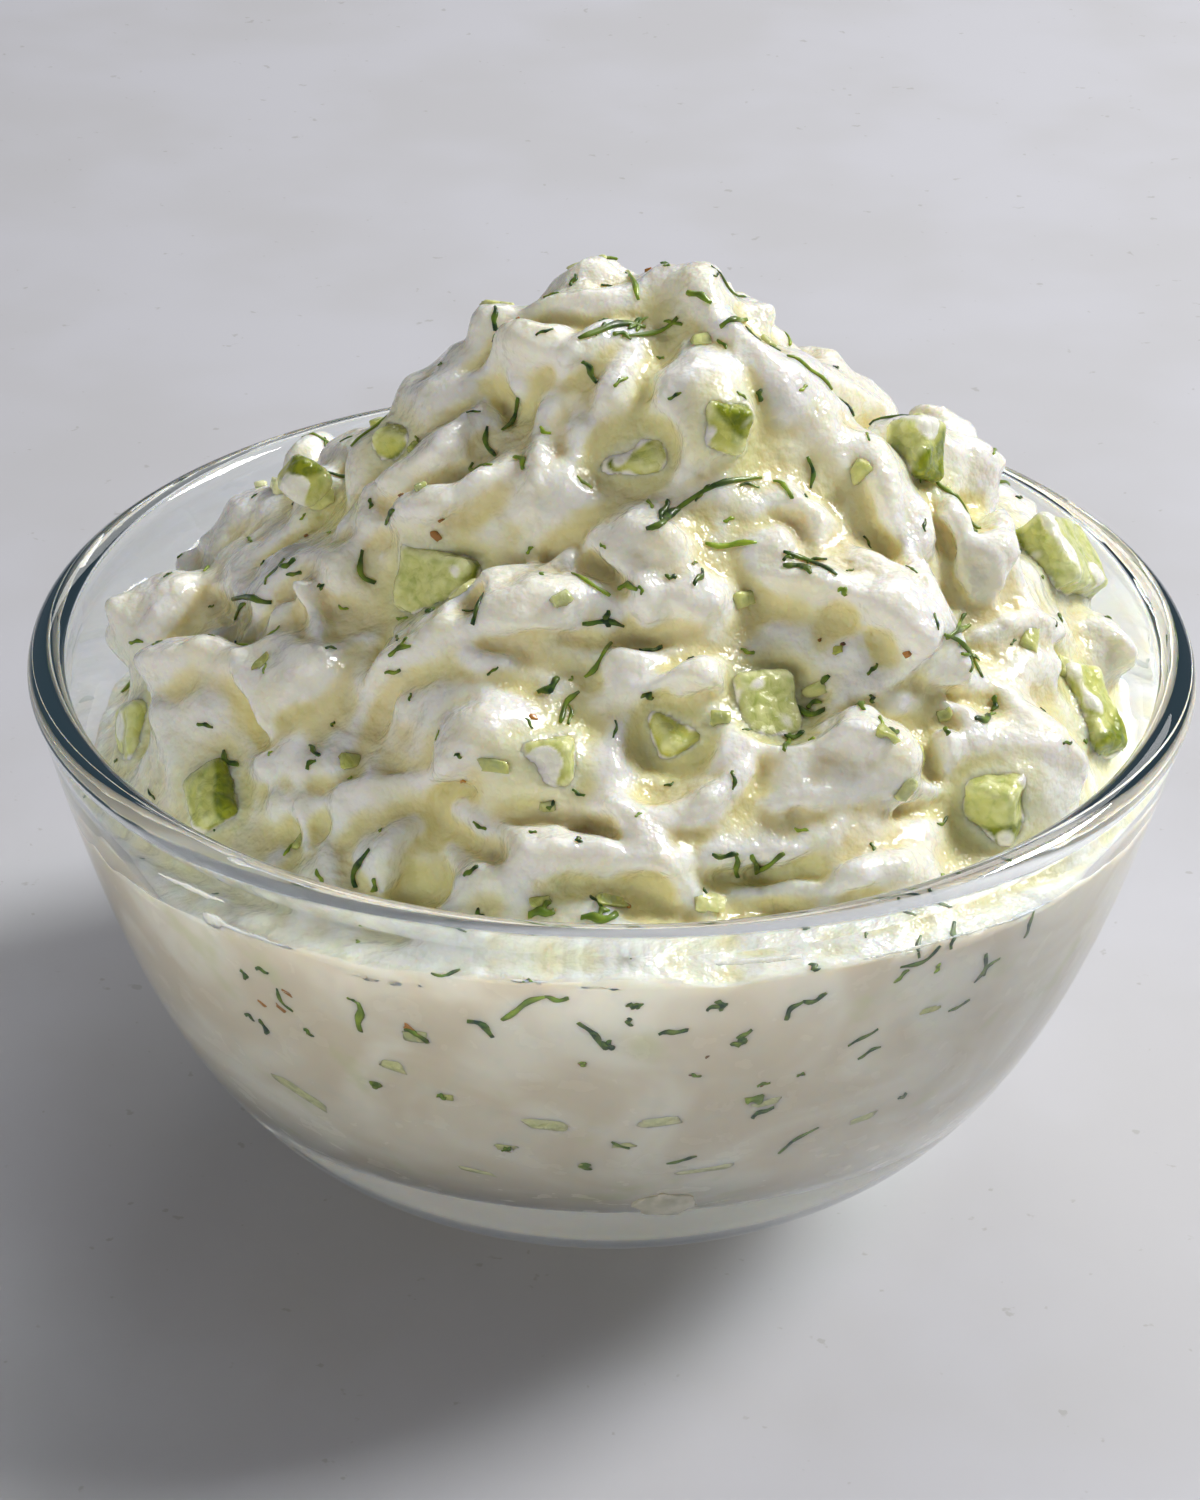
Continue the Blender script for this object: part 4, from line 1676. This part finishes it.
# %% The finish of the dill
dill_leaf, tree, surface = new_material(
    "dill_leaf", Metallic=0.0, IOR=1.42, Subsurface_Weight=0.25, Subsurface_Scale=0.0004,
    Subsurface_Radius=(0.5, 1.0, 0.2), Coat_Weight=0.3, Coat_Roughness=0.15,
)
light = add_node(tree, "ShaderNodeAttribute", attribute_name="light").outputs["Fac"]
colour = blend(tree, light, (0.014, 0.045, 0.014), (0.34, 0.46, 0.04))
vary = use_group(tree, clouds, Size_mm=0.9, Low=0.46, High=0.62, Shift=41.0)
colour = tint(tree, vary, 0.5, colour, (0.12, 0.24, 0.02))
tree.links.new(colour, surface.inputs["Base Color"])
gloss = use_group(tree, clouds, Size_mm=1.0, Low=0.3, High=0.7, Shift=7.0)
vary_roughness(tree, surface, gloss, 0.2, 0.28)
print("finish:", dill_leaf.name)

# %% Lay the dill on the heap
draw = random.Random(77)
on_top, behind = Sprigs(), Sprigs()
for row in DILL:
    lay_seen(on_top, dip_tree, row, 0.12 * MM, draw)
for row in DILL_BEHIND_GLASS:
    lay_seen(behind, dip_tree, row, 0.05 * MM, draw, bowl_tree)
LOOSE_DILL = 190
for i in range(LOOSE_DILL):
    x, y = even_spot(i, LOOSE_DILL, 56.0 * MM, draw.uniform(-0.2, 0.2))
    here = dropped_at(dip_tree, x, y, draw.uniform(0, math.tau))
    length, wide = (2.0 + 7.0 * draw.random() ** 1.8) * MM, draw.uniform(0.45, 0.8) * MM
    row = (length, wide, draw.uniform(-0.5, 0.5), draw.random() ** 1.6)
    if not in_view(dip_tree, here):
        lay_loose(on_top, dip_tree, here, *row, 0.12 * MM)
CRUMBS = 220
for i in range(CRUMBS):
    x, y = even_spot(i, CRUMBS, 55.0 * MM, 2.0)
    here = dropped_at(dip_tree, x, y, draw.uniform(0, math.tau))
    size = (draw.uniform(0.6, 2.2) * MM, draw.uniform(0.28, 0.5) * MM)
    lay_loose(on_top, dip_tree, here, *size, draw.uniform(-0.5, 0.5), draw.random() ** 1.5, 0.05 * MM)
dill_on_top = on_top.piece("dill_on_the_heap", dill_leaf)
print("dill on the heap:", triangles(dill_on_top), "triangles")

# %% Dill behind the glass, all round
LOOSE_BEHIND = 190
for i in range(LOOSE_BEHIND):
    place, normal = on_wall(i, 15.0)
    size = (draw.uniform(2, 7) * MM, draw.uniform(0.45, 0.8) * MM)
    bend, light = draw.uniform(-0.5, 0.5), draw.random() ** 2 * 0.8
    turn = math.radians(draw.gauss(12, 30))
    if place is None or place.y < UNSEEN_FROM:
        continue
    level = UP.cross(normal).normalized()
    here = frame_of(place, level * math.cos(turn) + UP * math.sin(turn), normal)
    lay_loose(behind, dip_tree, here, *size, bend, light, 0.05 * MM)
dill_behind = behind.piece("dill_behind_the_glass", dill_leaf)
print("dill behind the glass:", triangles(dill_behind), "triangles")

# %% [markdown]
# ## The floor
#
# A pale grey stone top, so wide that no edge of it shows: faint clouds of two greys, and a
# few small flecks. It has a rough finish, because a shiny one would mirror the lamps.

# %% Lay the floor
bpy.ops.object.select_all(action="DESELECT")
bpy.ops.mesh.primitive_plane_add(size=8.0)
floor = bpy.context.object
floor.name = "floor"
paint, tree, surface = new_material("floor_paint", Roughness=0.5, Metallic=0.0)
patch = use_group(tree, clouds, Size_mm=45.0, Low=0.35, High=0.65, Shift=2.0)
colour = blend(tree, patch, (0.535, 0.54, 0.585), (0.505, 0.507, 0.535))
fleck = use_group(tree, clouds, Size_mm=2.6, Low=0.70, High=0.75, Shift=9.0)
colour = tint(tree, fleck, 0.35, colour, (0.25, 0.24, 0.21))
tree.links.new(colour, surface.inputs["Base Color"])
floor.data.materials.append(paint)
print("floor laid")

# %% [markdown]
# ## Light
#
# The light in the photograph comes from a window behind and to the right, and the room in
# front is dim: the right side is white, and the left and front lie in a warm soft shade. The
# window is a small bright lamp, which keeps the shadow's edge firm. A weak warm lamp in front
# on the left stands for the room, and a wide one high at the back for the sky. These two fill
# the shade. Neither shows in what the glass bends, nor the room lamp in what it mirrors,
# because each would stand there as a hard white bar.

# %% Set the lights
def area_light(name, place, aim, size, power, colour):
    """A rectangular lamp that faces a place."""
    light = bpy.data.lights.new(name, "AREA")
    light.shape = "RECTANGLE"
    light.size, light.size_y = size
    light.energy = power
    light.color = colour
    lamp = bpy.data.objects.new(name, light)
    bpy.context.scene.collection.objects.link(lamp)
    lamp.location = place
    lamp.rotation_euler = (Vector(aim) - Vector(place)).to_track_quat("-Z", "Y").to_euler()
    return lamp


AIM = (0.0, 0.0, 0.06)
area_light("window", (0.76, 0.33, 0.86), AIM, (0.33, 0.33), 15.4, (1.0, 0.985, 0.96))
room_light = area_light("room", (-0.55, -0.9, 0.14), AIM, (0.9, 0.24), 4.9, (1.0, 0.95, 0.87))
sky_light = area_light("sky", (0.3, 1.1, 1.0), AIM, (1.0, 0.5), 4.8, (1.0, 0.99, 0.97))
room_light.visible_glossy = False
room_light.visible_transmission = False
sky_light.visible_transmission = False
world = bpy.data.worlds.new("studio")
world.use_nodes = True
world.node_tree.nodes["Background"].inputs["Color"].default_value = (0.78, 0.80, 0.92, 1.0)
world.node_tree.nodes["Background"].inputs["Strength"].default_value = 0.13
bpy.context.scene.world = world
bpy.context.scene.view_settings.view_transform = "Standard"
print("lights set")
